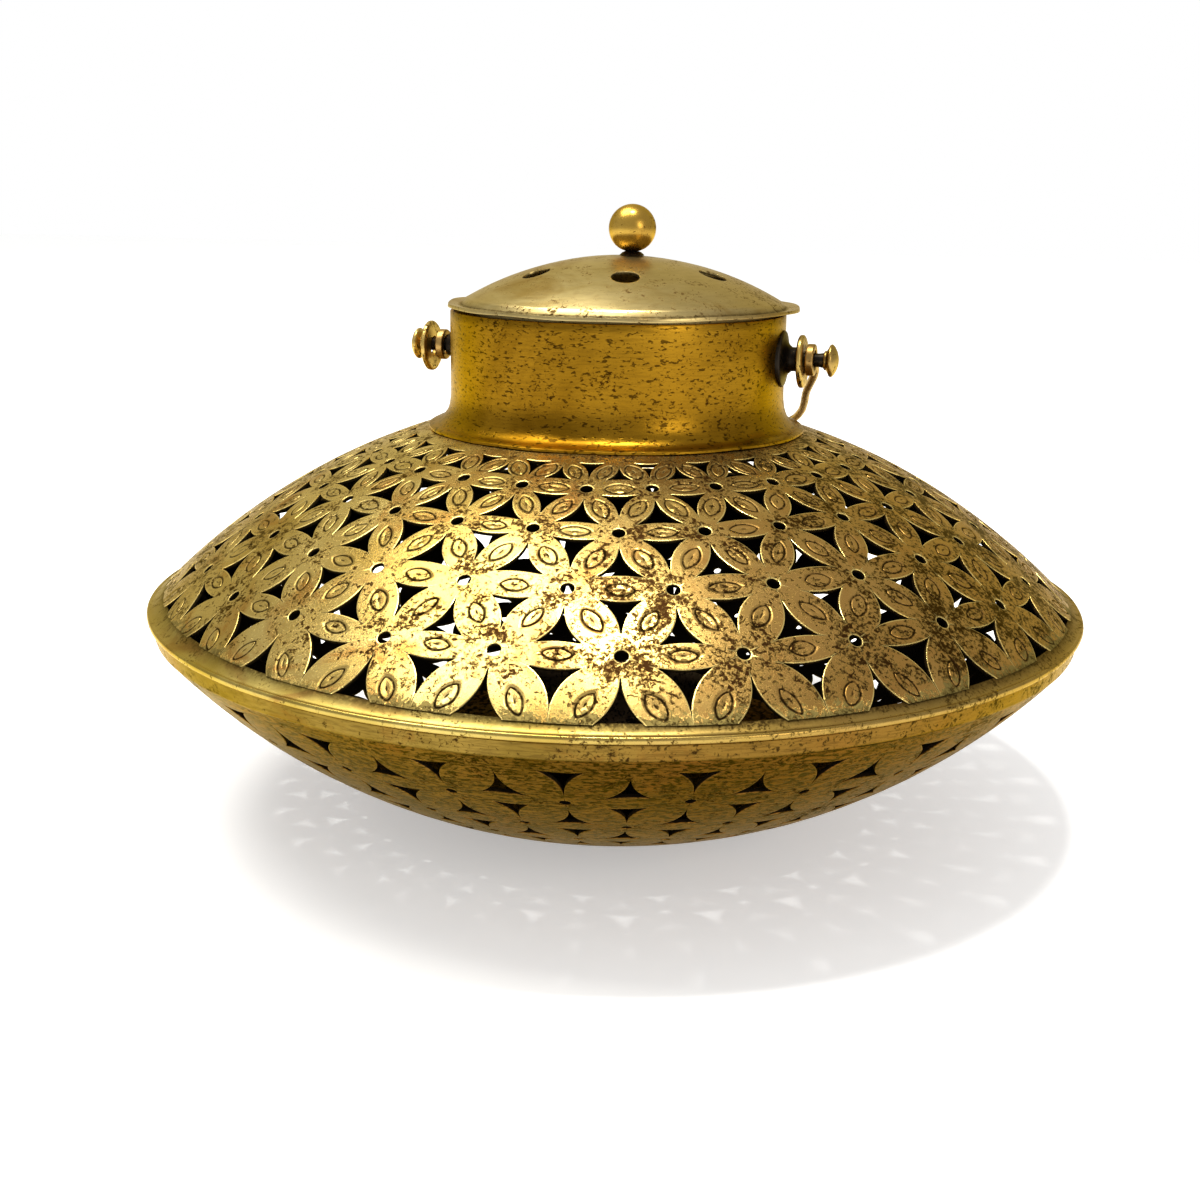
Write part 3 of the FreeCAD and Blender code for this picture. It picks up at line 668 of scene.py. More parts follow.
    def walls(self, pieces, centre, bevel):
        """The cut through the sheet: a bevel with a painted highlight, then a wall that darkens
        to soot and painted shade.
        """
        for group, is_cut in pieces:
            if not is_cut:
                continue
            levels = []
            for share, lift, glint, soot_and_shade in ((1.0, 0.0, 1.0, 0.0), (0.3, -0.04 * MM, 1.0, 0.0),
                                              (0.0, -0.13 * MM, 1.0, 0.0),
                                              (0.0, -0.24 * MM, 0.0, 0.9),
                                              (0.0, -SHEET, 0.0, 1.0)):
                points = [p + (centre - p).normalized() * bevel * share for p in group]
                levels.append([self.vertex(p, lift, 0.0, glint, soot_and_shade) for p in points])
            for upper, lower in zip(levels, levels[1:]):
                for index in range(len(group) - 1):
                    self.faces.append((upper[index], lower[index], lower[index + 1],
                                       upper[index + 1]))

    def strip(self, row, marked):
        """Holes and slanted petals between one row of flowers and the next one in."""
        shift = 1 if row % 2 == 0 else 0
        for index in range(FLOWERS):
            here = self.at(row, index)
            left = self.at(row + 1, index + shift - 1)
            right = self.at(row + 1, index + shift)
            before = self.at(row, index - 1)
            after = self.at(row, index + 1)
            own = self.hole(("own", row, index), [left, right, here])
            next_hole = self.shifted("next", row, index, [here, after, right])
            last_hole = self.shifted("next", row, index - 1, [before, here, left])
            radii = (self.holes[row], self.holes[row + 1])
            self.petal(here, right, (next_hole, 0, 2), (own, 2, 1), radii, marked)
            self.petal(here, left, (own, 2, 0), (last_hole, 1, 2), radii, marked)

    def shifted(self, kind, row, index, corners):
        """The same hole seen from either side of the seam keeps its variety."""
        laps, place = divmod(index, FLOWERS)
        lap = Vector((2 * math.pi * laps, 0))
        middle, tips = self.hole((kind, row, place), [corner - lap for corner in corners])
        return middle + lap, [tip + lap for tip in tips]

    def ring(self, row, marked, outer_border=None, inner_border=None):
        """The petals along one row; a border closes the outer or inner side of an end row."""
        shift = 1 if row % 2 == 0 else 0
        for index in range(FLOWERS):
            here, after = self.at(row, index), self.at(row, index + 1)
            outer = (here, after, outer_border)
            if outer_border is None:
                outer = (self.outer_hole(row, index), 0, 1)
            inner = (here, after, inner_border)
            if inner_border is None:
                corners = [here, after, self.at(row + 1, index + shift)]
                inner = (self.shifted("next", row, index, corners), 0, 1)
            self.petal(here, after, outer, inner, (self.holes[row],) * 2, marked)

    def outer_hole(self, row, index):
        """The hole on the outer side of the petal from one flower of a row to the next."""
        shift = 1 if (row - 1) % 2 == 0 else 0
        apex = index + 1 - shift
        corners = [self.at(row, index), self.at(row, index + 1), self.at(row - 1, apex)]
        laps, place = divmod(apex, FLOWERS)
        lap = Vector((2 * math.pi * laps, 0))
        middle, tips = self.hole(("own", row - 1, place), [c - lap for c in corners])
        return middle + lap, [tip + lap for tip in tips]


def trim_height(x, y):
    """Height of the slightly tilted line where the shoulder runs into the rim's cove."""
    edge = DOME_CENTRE + math.sqrt(DOME_SPHERE ** 2 - DOME_EDGE ** 2)
    return edge + TRIM_RISE + TRIM_TILT[0] * x + TRIM_TILT[1] * y


def make_shoulder(material):
    """The pierced and engraved shoulder, trimmed on a slightly tilted line at the rim."""
    shell = Shell(DOME_SPHERE, DOME_CENTRE, 1, DOME_TURN, DOME_ROWS, DOME_HOLES,
                  DOME_REACH, 5)
    last = len(DOME_ROWS) - 1
    for row in range(last):
        shell.strip(row, True)
    for row in range(1, last):
        shell.ring(row, True)
    shell.ring(last, False, inner_border=shell.strip_y(SHOULDER_INNER))
    return make_object("pierced_shoulder", shell.verts, shell.faces, material, "censer",
                       ["upper_shell"], 35, shell.marks,
                       (Vector((0, 0, trim_height(0, 0))), Vector((*TRIM_TILT, -1))))


def make_bowl(material):
    """The plainer pierced bowl under the rim."""
    shell = Shell(BOWL_SPHERE, BOWL_CENTRE, -1, BOWL_TURN, BOWL_ROWS, BOWL_HOLES,
                  BOWL_REACH, 9)
    last = len(BOWL_ROWS) - 1
    top = math.sqrt(BOWL_SPHERE ** 2 - (BOWL_CENTRE - BOWL_TOP) ** 2)
    shell.ring(0, False, outer_border=shell.strip_y(top))
    for row in range(last):
        shell.strip(row, False)
    for row in range(1, last):
        shell.ring(row, False)
    shell.ring(last, False, inner_border=shell.strip_y(PLAIN_RADIUS * MM))
    return make_object("pierced_bowl", shell.verts, shell.faces, material, "censer",
                       ["lower_bowl"], 35, shell.marks)


# ---------------------------------------------------------------- turned pieces


def fire_side(count):
    """Soot and painted shade on the first and the last point of a rim outline, which face the
    fire inside.
    """
    return [1.0] + [0.0] * (count - 2) + [1.0]


def make_rim(bead_material, band_material):
    """The turned rim: cove and bright bead, and under them the duller plain band; the cove is
    darkened with residue and painted shade, and the band's dull colour is partly painted shade.
    """
    ridge = RIDGE / MM
    height = RIDGE_HEIGHT / MM
    joint = DOME_EDGE / MM
    # Each point of the cove also says how far it follows the shoulder's tilted edge.
    cove = [(joint - 1.3, height + 1.3, 1.0), (joint - 0.5, height + 2.65, 1.0),
            (joint + 0.2, height + 2.05, 0.95), (joint + 0.8, height + 1.5, 0.70),
            (joint + 1.4, height + 1.08, 0.40), (joint + 1.9, height + 0.86, 0.16),
            (joint + 2.2, height + 0.86, 0.04)]
    bead = [(ridge - 0.62, height + 0.96), (ridge - 0.28, height + 0.82),
            (ridge - 0.06, height + 0.45), (ridge, height), (ridge - 0.12, height - 0.45),
            (ridge - 0.42, height - 0.78), (ridge - 1.0, height - 0.95),
            (ridge - 3.0, height - 0.9)]
    plain = [(ridge - 2.6, height - 0.85), (ridge - 1.3, height - 0.85),
             (ridge - 1.02, height - 1.15), (ridge - 1.15, height - 2.2),
             (ridge - 1.42, height - 3.4), (ridge - 1.55, height - 4.3),
             (ridge - 1.70, height - 4.75), (ridge - 2.1, height - 5.05),
             (ridge - 2.9, height - 5.1), (ridge - 4.4, height - 4.4)]
    drift = wave(3, (3, 0.05 * MM), (7, 0.04 * MM), (19, 0.03 * MM))
    rise = wave(4, (2, 0.12 * MM), (5, 0.06 * MM))
    edge = trim_height(0, 0) - TRIM_RISE

    def wobble(angle, index):
        shift_r, shift_z = drift(angle) - 0.15 * MM, rise(angle)
        if index < len(cove):
            lift = trim_height(DOME_EDGE * math.cos(angle), DOME_EDGE * math.sin(angle)) - edge
            reach = math.sqrt(DOME_SPHERE ** 2 - (edge + lift - DOME_CENTRE) ** 2)
            rough = 0.14 * MM * noise.noise(Vector((math.cos(angle) * 22,
                                                    math.sin(angle) * 22, index * 0.6)))
            share = cove[index][2]
            shift_r += share * (reach - DOME_EDGE) + rough * share
            shift_z += share * (lift - rise(angle)) + rough * share
        return shift_r, shift_z

    outline = metres([point[:2] for point in cove] + bead)
    verts, faces = lathe(outline, RIM_SEGMENTS, wobble)
    # The cove's groove mask darkens it: residue at the seam and painted shade in the hollow of
    # the cove.
    cove_residue_and_shade = [(0.9, 0.9, 0.75, 0.45, 0.25, 0.12, 0.05)[index] if index < len(cove) else 0.0
             for index in range(len(outline))]
    make_object("rim_bead", verts, faces, bead_material, "censer", ["rim_band"],
                50,
                {"groove": cove_residue_and_shade * RIM_SEGMENTS,
                 "soot_and_shade": fire_side(len(outline)) * RIM_SEGMENTS})
    verts, faces = lathe(metres(plain), RIM_SEGMENTS,
                         lambda angle, index: (drift(angle) - 0.15 * MM, rise(angle)))
    make_object("rim_lower_band", verts, faces, band_material, "censer", [], 50,
                {"soot_and_shade": fire_side(len(plain)) * RIM_SEGMENTS})


def make_floor_disc(material):
    """The plain bottom of the bowl and the flat disc it stands on."""
    steps = 8
    under, over = [], []
    for step in range(steps + 1):
        radius = (DISC_RADIUS + (PLAIN_RADIUS - DISC_RADIUS) * step / steps) * MM
        under.append((radius, BOWL_CENTRE - math.sqrt(BOWL_SPHERE ** 2 - radius ** 2)))
        inner = BOWL_SPHERE - SHEET
        over.append((radius, BOWL_CENTRE - math.sqrt(inner ** 2 - radius ** 2)))
    low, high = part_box("base_disc")
    disc = [(0, low.z), (high.x - 0.5 * MM, low.z), (high.x - 0.15 * MM, 0.15 * MM),
            (high.x, 0.5 * MM), (high.x, high.z - 0.1 * MM), (high.x - 0.3 * MM, high.z),
            (0, high.z)]
    verts, faces = lathe(under + over[::-1], 180)
    shift = len(verts)
    more_verts, more_faces = lathe(disc, 180, closed=False)
    verts += more_verts
    faces += [tuple(i + shift for i in face) for face in more_faces]
    return make_object("bowl_bottom", verts, faces, material, "censer", ["base_disc"],
                       40)


def make_neck(material):
    """Plain neck with a flared foot that ends in a thin bright lip."""
    wall = FOOT_RADIUS / MM - 5.8
    foot = FOOT_RADIUS / MM
    top = NECK_TOP / MM
    outline = [(wall - 1.0, 105.6), (wall + 1.5, 104.9), (foot - 0.2, 103.5),
               (foot, 103.65), (foot - 0.05, 104.15), (foot - 0.5, 104.45),
               (foot - 1.6, 104.75), (foot - 2.8, 105.3), (foot - 3.9, 106.2),
               (foot - 4.8, 107.6), (foot - 5.4, 109.4), (wall + 0.08, 111.6)]
    for step in range(1, 12):
        outline.append((wall, 111.6 + (top - 112.0) * step / 12))
    outline += [(wall - 0.02, top - 0.35), (wall - 0.18, top - 0.06), (wall - 0.5, top),
                (wall - 0.85, top - 0.08), (wall - 1.0, top - 0.4), (wall - 1.0, 118.0)]
    lip = wave(11, (3, 0.12 * MM), (8, 0.10 * MM), (17, 0.07 * MM))
    sway = wave(12, (2, 0.10 * MM), (3, 0.06 * MM))

    def wobble(angle, index):
        height = outline[index][1]
        dent = 0.10 * MM * noise.noise(Vector((math.cos(angle) * 2.2, math.sin(angle) * 2.2,
                                               height * 0.09)))
        if 2 <= index <= 8:
            return lip(angle), 0.5 * abs(lip(angle + 0.4))
        return sway(angle) * 0.6 + dent, 0.0

    verts, faces = lathe(metres(outline), 360, wobble)
    return make_object("neck", verts, faces, material, "censer", ["neck_collar"],
                       45)


def lid_height(radius):
    """Height of the lid's outer face: a shallow dome, a crease, then the flat brim."""
    r = radius / MM
    dome = LID_TOP / MM - LID_SPHERE + math.sqrt(LID_SPHERE ** 2 - min(r, 42.2) ** 2)
    brim = 135.35 + max(r - CREASE_END, 0) * 0.14
    if r <= CREASE_START:
        return dome * MM
    if r >= CREASE_END:
        return brim * MM
    t = (r - CREASE_START) / 1.7
    t = t * t * (3 - 2 * t)
    return (dome * (1 - t) + brim * t) * MM


def make_lid(material):
    """The vented lid: dome with six round holes, a rough crease and a wavy brim."""
    turns = 192
    shift = Vector(LID_SHIFT)
    vents = [Vector((math.cos(a), math.sin(a))) * VENT_CIRCLE * MM
             for a in (math.radians(VENT_TURN + 60 * k) for k in range(6))]
    vent_radius = VENT_RADIUS * MM
    inner = [1.5, 3, 5, 8, 11, 14, 17, 20]
    outer = [32, 34, 36, 38, 40, 41.2, 41.6, 42.0, 42.4, 42.8, 43.2, 43.8, 44.8, 45.8, 46.25]
    points, faces = [], []

    def circle(radius):
        first = len(points)
        for turn in range(turns):
            angle = 2 * math.pi * turn / turns
            points.append(Vector((radius * math.cos(angle), radius * math.sin(angle))))
        return first

    for radii in (inner, outer):
        starts = [circle(r * MM) for r in radii]
        for low, high in zip(starts, starts[1:]):
            for turn in range(turns):
                after = (turn + 1) % turns
                faces.append((low + turn, high + turn, high + after, low + after))
        if radii is inner:
            inner_loop = starts[-1]
        else:
            outer_loop = starts[0]
    loops = [[points[first + t] for t in range(turns)] for first in (inner_loop, outer_loop)]
    for vent in vents:
        for grow in (1.0, 1.12):
            loops.append([vent + vent_radius * grow * Vector((math.cos(a), math.sin(a)))
                          for a in (2 * math.pi * k / 40 for k in range(40))])
    # The ring of vents between the two loops is filled with triangles.
    flat, edges = [], []
    for loop in loops:
        first = len(flat)
        flat += loop
        edges += [(first + k, first + (k + 1) % len(loop)) for k in range(len(loop))]
    spokes = 96
    for radius in (22.0, 24.0, 26.0, 28.0, 30.0):
        for turn in range(spokes):
            angle = 2 * math.pi * (turn + 0.5) / spokes
            point = radius * MM * Vector((math.cos(angle), math.sin(angle)))
            if all((point - vent).length > vent_radius * 1.3 for vent in vents):
                flat.append(point)
    net = cdt(flat, edges)
    first = len(points)
    points += net[0]
    for face in net[1]:
        middle = sum((net[0][i] for i in face), Vector((0, 0))) / len(face)
        if not 19.99 * MM < middle.length < 32.01 * MM:
            continue
        if any((middle - vent).length < vent_radius * 0.995 for vent in vents):
            continue
        faces.append(tuple(i + first for i in face))
    brim = wave(21, (2, 0.20 * MM), (5, 0.12 * MM), (11, 0.08 * MM))
    reach = wave(22, (3, 0.16 * MM), (7, 0.10 * MM), (16, 0.06 * MM))
    verts, crease = [], []
    for point in points:
        radius = point.length
        angle = math.atan2(point.y, point.x)
        loose = max(0.0, min((radius / MM - 42.0) / 4.0, 1.0))
        dent = 0.12 * MM * noise.noise(Vector((point.x, point.y, 0.3)) * 60)
        rough = 0.0
        if 41.3 < radius / MM < 43.5:
            rough = 0.10 * MM * noise.noise(Vector((angle * 60, radius * 900, 0)))
        away = point * (1 + reach(angle) * loose / max(radius, 1e-9))
        height = lid_height(radius) + brim(angle) * loose + dent + rough
        verts.append(Vector((away.x, away.y, height)) + shift)
        spread = abs(radius / MM - 42.9)
        crease.append(max(0.0, 1 - spread / 0.7))
    lid = make_object("lid_dome", verts, faces, material, "lid", ["lid_shell"],
                      40, {"groove": crease})
    thicken(lid, 0.85 * MM, 0.14 * MM)
    return lid


def cdt(points, edges):
    """Fill a flat outline with triangles: (points, faces)."""
    result = delaunay_2d_cdt(points, edges, [], 0, 1e-9)
    return [Vector(p) for p in result[0]], result[2]


def thicken(made, thickness, round_off):
    """Give a sheet its thickness and softened edges."""
    solid = made.modifiers.new("sheet", "SOLIDIFY")
    solid.thickness = thickness
    solid.offset = -1
    soften = made.modifiers.new("soft_edges", "BEVEL")
    soften.width = round_off
    soften.segments = 2
    soften.limit_method = "ANGLE"
    soften.angle_limit = math.radians(55)


def make_lid_ring(material):
    """The ring under the lid that keeps it in the neck."""
    low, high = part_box("lid_locating_ring")
    radius = high.x
    outline = rounded([(radius - 0.9 * MM, low.z), (radius, low.z),
                       (radius, high.z - 0.7 * MM), (radius - 0.9 * MM, high.z - 0.2 * MM)],
                      0.15 * MM)
    drift = wave(31, (2, 0.05 * MM), (6, 0.03 * MM))
    verts, faces = lathe(outline, 200, lambda angle, index: (drift(angle), 0.0))
    return make_object("lid_ring", moved(verts, LID_SHIFT), faces, material, "lid",
                       ["lid_locating_ring"], 45)


def make_finial(ball_material, stem_material):
    """Ball with a slightly flattened lower pole, and its dark conical stem."""
    low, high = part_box("finial_ball")
    radius = high.x
    middle = high.z - radius
    profile = [(0.0, middle + radius)]
    for step in range(1, 30):
        angle = math.pi * step / 31
        flat = 1.0 - 0.03 * max(0.0, -math.cos(angle)) ** 3
        profile.append((radius * math.sin(angle), middle + radius * math.cos(angle) * flat))
    profile.append((1.4 * MM, middle - radius * 0.955))
    dimple = wave(41, (2, 0.04 * MM), (3, 0.03 * MM))
    verts, faces = lathe(profile, 96, lambda angle, index: (dimple(angle), 0.0), False)
    make_object("finial_knob", moved(verts, FINIAL_SHIFT), faces, ball_material, "lid",
                ["finial_ball"], 60)
    seat = LID_TOP
    stem = [(1.2 * MM, middle - radius * 0.9), (1.9 * MM, middle - radius * 0.95),
            (2.5 * MM, middle - radius * 0.99), (3.1 * MM, seat + 0.25 * MM),
            (3.3 * MM, seat - 0.02 * MM), (1.5 * MM, seat - 0.05 * MM),
            (1.5 * MM, low.z + 0.3 * MM), (1.2 * MM, low.z), (0.0, low.z)]
    verts, faces = lathe(stem, 64, closed=False)
    make_object("finial_stem", moved(verts, FINIAL_SHIFT), faces, stem_material, "lid", [],
                50)


def make_finial_fixings(material):
    """The washer and hexagon nut that hold the finial under the lid."""
    low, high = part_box("finial_washer")
    outline = rounded([(1.65 * MM, low.z), (high.x, low.z), (high.x, high.z),
                       (1.65 * MM, high.z)], 0.15 * MM)
    verts, faces = lathe(outline, 64)
    make_object("knob_washer", moved(verts, FINIAL_SHIFT), faces, material, "lid",
                ["finial_washer"], 40)
    low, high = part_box("finial_nut")
    flat = (high.y - low.y) / 2
    levels = [(low.z, 0.90), (low.z + 0.3 * MM, 1.0), (high.z - 0.3 * MM, 1.0),
              (high.z, 0.90)]
    verts, faces = [], []
    count = 48
    for height, grow in levels:
        for turn in range(count):
            angle = 2 * math.pi * turn / count
            within = (angle + math.pi / 6) % (math.pi / 3) - math.pi / 6
            reach = min(flat / math.cos(within), flat * 1.12) * grow
            verts.append((reach * math.cos(angle), reach * math.sin(angle), height))
    for height in (high.z, low.z):
        for turn in range(count):
            angle = 2 * math.pi * turn / count
            verts.append((1.5 * MM * math.cos(angle), 1.5 * MM * math.sin(angle), height))
    for level in range(5):
        for turn in range(count):
            after = (turn + 1) % count
            here, there = level * count, (level + 1) * count
            faces.append((here + turn, here + after, there + after, there + turn))
    for turn in range(count):
        after = (turn + 1) % count
        faces.append((5 * count + turn, 5 * count + after, after, turn))
    make_object("knob_nut", moved(verts, FINIAL_SHIFT), faces, material, "lid", ["finial_nut"],
                35)


# ---------------------------------------------------------------- studs, washers and bail

def beside(profile, side, segments=72, lean=0.0, drop=0.0, wobble=None):
    """Turn (radius, distance) points round the pivot axis, on the right (+1) or left (-1)."""
    verts, faces = lathe(metres(profile), segments, wobble)
    middle = sum(z for _, z in profile) / len(profile) * MM
    tilt = Matrix.Rotation(math.radians(lean), 3, "Y")
    placed = []
    for vert in verts:
        point = Vector(vert)
        if lean:
            point = tilt @ (point - Vector((0, 0, middle))) + Vector((0, 0, middle))
        placed.append(Vector((side * point.z, point.y, STUD_HEIGHT + point.x - drop)))
    return placed, faces


def span(name):
    """The stretch that a node takes up along the pivot axis, in millimetres."""
    low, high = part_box(name)
    ends = sorted((abs(low.x), abs(high.x)))
    return ends[0] / MM, ends[1] / MM


def make_studs(side, suffix, dark_and_shaded, rubbed):
    """One pivot: its trumpet-shaped flange, pin, cap and the burr inside the neck."""
    start, end = span("stud_flange_" + suffix)
    wide = (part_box("stud_flange_" + suffix)[1].y) / MM
    outline = [(2.3, 43.7), (wide, 43.7), (wide, 44.5), (wide - 0.25, 44.95),
               (wide - 0.8, 45.1), (wide - 2.2, 45.35), (wide - 3.4, 46.0),
               (wide - 4.2, 46.9), (3.1, end - 0.25), (2.9, end), (2.3, end)]
    # The flange and pin are dark partly from blackening and partly from painted shade.
    make_piece("stud_trumpet_" + suffix, beside(outline, side), dark_and_shaded,
               ["stud_flange_" + suffix])
    start, end = span("pivot_stud_" + suffix)
    outline = [(0.0, start), (1.6, start + 0.05), (2.6, start + 0.3), (3.2, start + 0.9),
               (2.35, start + 0.9), (2.35, 48.2), (2.15, 48.45), (1.78, 48.5), (1.75, 50),
               (1.72, 52), (1.75, 54), (1.9, 55.0), (1.75, 55.4), (1.75, end), (0.0, end)]
    make_piece("stud_pin_" + suffix, beside(outline, side), dark_and_shaded,
               ["pivot_stud_" + suffix])
    start, end = span("stud_button_" + suffix)
    wide = (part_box("stud_button_" + suffix)[1].y) / MM
    outline = [(1.75, start), (2.1, start), (2.45, start + 0.25), (2.5, start + 0.7),
               (wide - 0.8, start + 1.25), (wide - 0.25, start + 1.5),
               (wide, start + 1.85), (wide - 0.05, start + 2.15),
               (wide - 0.6, start + 2.7), (wide - 1.7, start + 3.3),
               (wide - 3.0, start + 3.7), (0.0, end), (0.0, start + 1.8),
               (1.75, start + 1.8)]
    make_piece("stud_cap_" + suffix, beside(outline, side), rubbed,
               ["stud_button_" + suffix])
    start, end = span("stud_rove_" + suffix)
    outline = rounded([(2.36, start), (4.4, start), (4.4, end), (2.36, end)], 0.2)
    make_piece("stud_burr_" + suffix, beside(outline, side), rubbed,
               ["stud_rove_" + suffix])


def make_piece(name, shape, material, replaced, body="censer"):
    """A turned piece of a pivot."""
    return make_object(name, shape[0], shape[1], material, body, replaced, 50)


def make_washer(side, suffix, material, lean):
    """The loose washer between flange and bail, leaning and hanging low on its pin."""
    start, end = span("stud_washer_" + suffix)
    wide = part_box("stud_washer_" + suffix)[1].y / MM
    outline = rounded([(2.5, start + 0.1), (wide - 0.9, start + 0.1),
                       (wide - 0.35, start + 0.22), (wide, start + 0.5),
                       (wide, end - 0.5), (wide - 0.35, end - 0.22),
                       (wide - 0.9, end - 0.1), (2.5, end - 0.1)], 0.25)
    wear = wave(50 + side, (2, 0.08 * MM), (3, 0.06 * MM), (9, 0.03 * MM))
    shape = beside(outline, side, 96, lean, 0.5 * MM, lambda angle, index: (wear(angle), 0))
    make_piece("loose_washer_" + suffix, shape, material, ["stud_washer_" + suffix],
               "washer_" + suffix)


def smooth_path(points, steps):
    """A Catmull-Rom curve through the points."""
    result = []
    count = len(points)
    for index in range(count - 1):
        p1, p2 = points[index], points[index + 1]
        p0 = points[index - 1] if index else p1 * 2 - p2
        p3 = points[index + 2] if index + 2 < count else p2 * 2 - p1
        for step in range(steps):
            t = step / steps
            result.append(0.5 * (2 * p1 + (p2 - p0) * t
                                 + (2 * p0 - 5 * p1 + 4 * p2 - p3) * t * t
                                 + (3 * p1 - p0 - 3 * p2 + p3) * t ** 3))
    result.append(points[-1].copy())
    return result


def make_bail(material):
    """One bent rod, hammered out into a drilled eye at each end."""
    disc, gauge, bore, rod, reach = 4.1, 2.1, 2.5, 1.12, 89.0
    right_eye, left_eye = 51.9, -50.0
    shared = [(43.0, 48.3), (40.6, 58.4), (36.4, 69.4), (29.0, 79.2), (16.0, 86.4)]
    right = [(right_eye, disc - 0.9), (right_eye - 0.3, 9.0), (50.2, 16.6), (46.0, 33.0)]
    left = [(left_eye, disc - 0.9), (left_eye + 0.1, 9.0), (-49.2, 16.6), (-46.0, 33.0)]
    route = right + shared + [(0.0, reach)]
    route += ([*left, *[(-x, y) for x, y in shared]])[::-1]
    path = smooth_path([Vector((x, y, 0)) for x, y in route], 10)
    verts, faces = [], []
    sides = 20
    total = len(path)
    for index, point in enumerate(path):
        ahead = path[min(index + 1, total - 1)] - path[max(index - 1, 0)]
        along = ahead.normalized()
        flat = Vector((0, 0, 1))
        across = flat.cross(along).normalized()
        near = min(index, total - 1 - index) / 9.0
        spread = max(0.0, 1 - near)
        worn = 1 + 0.05 * noise.noise(Vector((index * 0.35, 3.0, 0.0)))
        tall = rod * worn * (1 + 1.1 * spread ** 2)
        wide = rod * worn * (1 - 0.08 * spread)
        for turn in range(sides):
            angle = 2 * math.pi * turn / sides
            verts.append(point + across * wide * math.cos(angle)
                         + flat * tall * math.sin(angle))
    for index in range(total - 1):
        for turn in range(sides):
            after = (turn + 1) % sides
            here, there = index * sides, (index + 1) * sides
            faces.append((here + turn, here + after, there + after, there + turn))
    for middle in (right_eye, left_eye):
        outline = rounded([(bore, -gauge / 2), (disc, -gauge / 2), (disc, gauge / 2),
                           (bore, gauge / 2)], 0.45)
        ring_verts, ring_faces = lathe(outline, 64)
        shift = len(verts)
        verts += [Vector((middle + v[2], v[1], v[0])) for v in ring_verts]
        faces += [tuple(i + shift for i in face) for face in ring_faces]
    drop = Matrix.Rotation(math.radians(-20.9), 3, "X")
    verts = [drop @ (v * MM) + Vector((0, 0, STUD_HEIGHT)) for v in verts]
    return make_object("bail", verts, faces, material, "bail", ["bail_handle"],
                       60)


def make_cup(material):
    """The sooted coal cup and the ring it stands on."""
    low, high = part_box("coal_cup")
    base, top = low.z / MM, high.z / MM
    outline = [(0, base), (14, base), (17.5, base + 0.1), (19.6, base + 0.9)]
    outline += [(32 - 12.4 * (1 - math.sin(a)), base + 17.5 - 16.6 * math.cos(a))
                for a in (math.radians(d) for d in range(8, 90, 8))]
    outline += [(32.2, top - 1.8), (33.0, top - 1.1), (33.6, top - 0.8), (33.7, top - 0.4),
                (33.3, top - 0.05), (32.6, top - 0.3), (31.4, top - 1.5)]
    outline += [(31 - 12.4 * (1 - math.sin(a)), base + 17.5 - 15.7 * math.cos(a))
                for a in (math.radians(d) for d in range(86, 5, -8))]
    outline += [(18.2, base + 1.6), (16.5, base + 1.05), (0, base + 1.0)]
    dent = wave(61, (3, 0.12 * MM), (5, 0.08 * MM))
    verts, faces = lathe(metres(outline), 160,
                         lambda angle, index: (dent(angle) if index > 6 else 0.0, 0.0))
    make_object("coal_bowl", verts, faces, material, "cup", ["coal_cup"], 50)
    low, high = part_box("cup_foot_ring")
    wide, bottom, top = high.x / MM, low.z / MM, high.z / MM
    outline = rounded([(wide - 2.6, top), (wide - 2.6, bottom + 1.0), (wide - 1.2, bottom),
                       (wide, bottom), (wide, bottom + 1.0), (wide - 1.6, bottom + 2.0),
                       (wide - 1.6, top)], 0.3)
    verts, faces = lathe(metres(outline), 120)
    make_object("coal_bowl_foot", verts, faces, material, "cup", ["cup_foot_ring"],
                50)


# ---------------------------------------------------------------- floor, light and camera

def make_floor():
    """A wide pale floor that the censer stands on."""
    size = 4.0
    mesh = bpy.data.meshes.new("floor")
    mesh.from_pydata([(-size, -size, 0), (size, -size, 0), (size, size, 0), (-size, size, 0)],
                     [], [(0, 1, 2, 3)])
    floor = bpy.data.objects.new("floor", mesh)
    bpy.context.scene.collection.objects.link(floor)
    paper = bpy.data.materials.new("floor_paper")
    paper.use_nodes = True
    shader = paper.node_tree.nodes["Principled BSDF"]
    shader.inputs["Base Color"].default_value = (0.93, 0.93, 0.92, 1)
    shader.inputs["Roughness"].default_value = 0.85
    shader.inputs["Emission Color"].default_value = (*WHITE, 1)
    shader.inputs["Emission Strength"].default_value = 0.38
    mesh.materials.append(paper)


def add_light(name, place, target, size, power, colour):
    """A rectangular lamp aimed at a place."""
    data = bpy.data.lights.new(name, "AREA")
    data.shape = "RECTANGLE"
    data.size, data.size_y = size
    data.energy = power
    data.color = colour
    light = bpy.data.objects.new(name, data)
    light.location = place
    aim = Vector(target) - Vector(place)
    light.rotation_euler = aim.to_track_quat("-Z", "Y").to_euler()
    bpy.context.scene.collection.objects.link(light)


def view_axes():
    """Right, towards the camera, and up, all level with the floor or square to it."""
    return (Vector((math.cos(VIEW_TURN), math.sin(VIEW_TURN), 0)),
            Vector((math.sin(VIEW_TURN), -math.cos(VIEW_TURN), 0)), Vector((0, 0, 1)))


